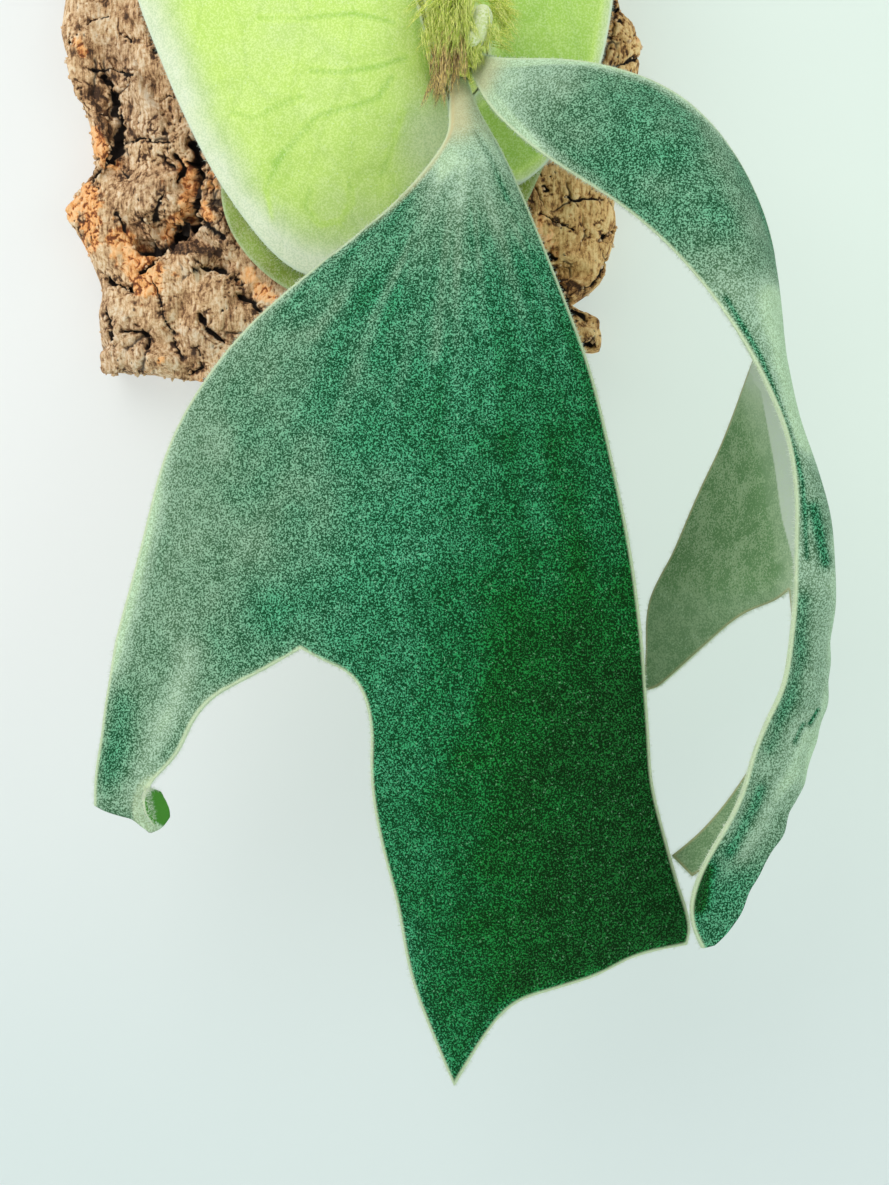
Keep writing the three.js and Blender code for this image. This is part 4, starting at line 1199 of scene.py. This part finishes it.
def fan(count, middle, spread, turns, lengths, each):
    hairs = []
    for _ in range(count):
        turn = math.radians(random.uniform(*turns))
        root = Vector([centre + random.gauss(0, wide) for centre, wide in zip(middle, spread)])
        run = Vector((math.sin(turn), random.uniform(-0.1, 0.2), -math.cos(turn)))
        hairs.extend(lock(root, root + run * random.uniform(*lengths), each))
    return hairs


# Each fan has a number of locks, the middle and spread of their roots in mm, their turns in degrees from
# straight down and positive to the right, their lengths in mm, and the number of hairs in each lock.
LIME_FANS = [
    (52, (32.5, -78.5, -5), (1.8, 1.6, 1.6), (-62, 38), (8, 17), 13),
    (26, (31.5, -80, -12), (2.6, 1.0, 2.0), (-60, 30), (7, 13), 13),
    (16, (45, -66, -6), (1.2, 2.0, 3.0), (35, 95), (5, 9), 13),
    (14, (38, -77, -20), (2.2, 1.5, 1.0), (-20, 30), (5, 9), 13),
    (9, (32, -80, -18), (2.6, 0.8, 2.4), (-22, 20), (6, 10), 13),
    (8, (43, -76, -14), (1.0, 1.5, 1.5), (-15, 25), (5, 8), 13),
    (8, (48, -68, -9), (1.2, 1.5, 2.0), (5, 50), (6, 10), 7),
    (5, (45, -72, -17), (1.2, 1.5, 1.5), (55, 100), (6, 9), 7),
    (13, (36.5, -82.5, -9), (1.2, 0.5, 3.2), (-15, 35), (6, 11), 8),
    (10, (34, -70, -3), (2.0, 3.0, 0.8), (70, 110), (6, 13), 13),
]
TAN_FANS = [
    (30, (31.5, -78, -21), (2.6, 1.5, 3.2), (-22, 16), (6, 12), 13),
    (10, (28, -66, -27), (1.0, 4.0, 2.0), (-30, 5), (5, 9), 13),
]
random.seed(11)
for name, fans, silk in (("lime_hairs", LIME_FANS, lime_silk), ("tan_hairs", TAN_FANS, tan_silk)):
    hairs = [hair for row in fans for hair in fan(*row)]
    put_on(place_hairs(name, long_spike, hairs), "rhizome", silk)

# %% [markdown]
# ## Crumbs of cork
# Small crumbs cling to the slab's broken edges and roughen its outline. Each is a coarse ball, pushed
# out of round and sunk partly into the bark.

# %% Crumbs
CRUMBS = 260


def rough_edge(face):
    """True for a face near the outline of the slab's lower half, seen from the front."""
    x, y, z = face.center / MM
    return z < 10 and -26 < y < -12 and face.normal.y > -0.55 and (abs(x) > 60 or z < -100)


ball = bmesh.new()
bmesh.ops.create_icosphere(ball, subdivisions=1, radius=1)
crumb = written(ball, bpy.data.meshes.new("crumb"))
random.seed(23)
edge_faces = chosen_faces(bark, CRUMBS, rough_edge)
crumbs = copies_of(crumb, "bark_crumbs", CRUMBS)
spots = []
for face in edge_faces:
    radius = random.uniform(0.3, 0.9) * MM
    middle = face.center + face.normal * radius * 0.4
    for vert in crumb.vertices:
        stretch = random.uniform(0.6, 1.4)
        spots.extend(middle + vert.co * radius * stretch)
move_points(crumbs, spots)
put_on(crumbs, "cork", bark_finish)

# %% [markdown]
# ## Young frond
# The next frond is still folded up in a pale knob, banded and closely felted, with a smaller lobe below.

# %% Young frond
knob = refined(merged_copy("young_frond"), "young_knob", 2)
knob_finish, inputs = new_finish("young_felt", 0.7, Sheen_Weight=0.5)
bands = soft_step(clouds(object_place(scale=(0.3, 0.3, 1)), 260, detail=2), 0.35, 0.65)
down = blend_colours(bands, (0.52, 0.62, 0.20), (0.70, 0.77, 0.38))
plug(inputs["Base Color"], felt_coat(inputs, down, (0.78, 0.83, 0.54), 0.5, 1600.0, (0.4, 0.2)))
put_on(knob, "young_leaf", knob_finish, stands_for=["young_frond"])


# %% A smaller lobe below the knob
def small_form(name, place, half_sizes, lean):
    """A smooth closed form, its middle and half sizes in mm, leaning by degrees to the right."""
    shape = bmesh.new()
    bmesh.ops.create_icosphere(shape, subdivisions=3, radius=1)
    for vert in shape.verts:
        vert.co.x *= 1 - 0.35 * vert.co.z
    turn = Matrix.Rotation(math.radians(lean), 4, "Y")
    size = Matrix.Diagonal((*[half * MM for half in half_sizes], 1))
    there = Matrix.Translation(Vector(place) * MM)
    bmesh.ops.transform(shape, verts=shape.verts, matrix=there @ turn @ size)
    push(shape, [v.normal * 0.12 * MM * noise.noise(v.co / MM / 1.6) for v in shape.verts])
    return new_object(name, written(shape, bpy.data.meshes.new(name)))


put_on(small_form("small_lobe", (38.4, -79.2, -19.2), (2.1, 2.0, 2.6), -20), "young_leaf", knob_finish)

# %% [markdown]
# ## Moss
# A pad of moss lies between the bark and the shields and shows only at their edges.

# %% Moss
moss = refined(merged_copy("moss_pad"), "moss_cushion", 2)
shape = opened(moss.data)
shape.normal_update()
push(shape, [v.normal * 0.9 * MM * noise.fractal(v.co / MM / 3, 0.8, 2.0, 3) for v in shape.verts])
written(shape, moss.data)
moss_finish, inputs = new_finish("moss_fibres", 0.9)
tangle = clouds(object_place(), 500, detail=5, roughness=0.7)
moss_tints = (0.35, (0.05, 0.035, 0.012)), (0.6, (0.30, 0.24, 0.09))
plug(inputs["Base Color"], colour_ramp(tangle, *moss_tints))
plug(inputs["Normal"], bump(tangle, 0.8, 0.8 * MM))
put_on(moss, "moss", moss_finish, stands_for=["moss_pad"])

# %% [markdown]
# ## Fittings
# A galvanised wire hanger goes through the slab near its top, and clear lines from steel screws held
# the young plant down until its shields closed over them.

# %% Fittings
steel, inputs = new_finish("galvanised_steel", 0.42, Metallic=1.0)
spangle = cells(object_place(), 700)
zinc_tints = (0.1, (0.50, 0.52, 0.54)), (0.7, (0.66, 0.68, 0.70))
plug(inputs["Base Color"], colour_ramp(spangle, *zinc_tints))
plug(inputs["Roughness"], soft_step(clouds(object_place(), 300), 0.3, 0.7, 0.34, 0.52))
line_tints = (0.3, (0.85, 0.88, 0.86)), (0.7, (0.92, 0.94, 0.93))
clear_line = cloudy_finish("clear_line", 0.2, (200, 3), *line_tints, Transmission_Weight=0.7)
for name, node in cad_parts.items():
    if not node.hide_render:
        finish = clear_line if name.startswith("tie_line") else steel
        node.data.materials.clear()
        node.data.materials.append(finish)
        print("packed node kept:", name)
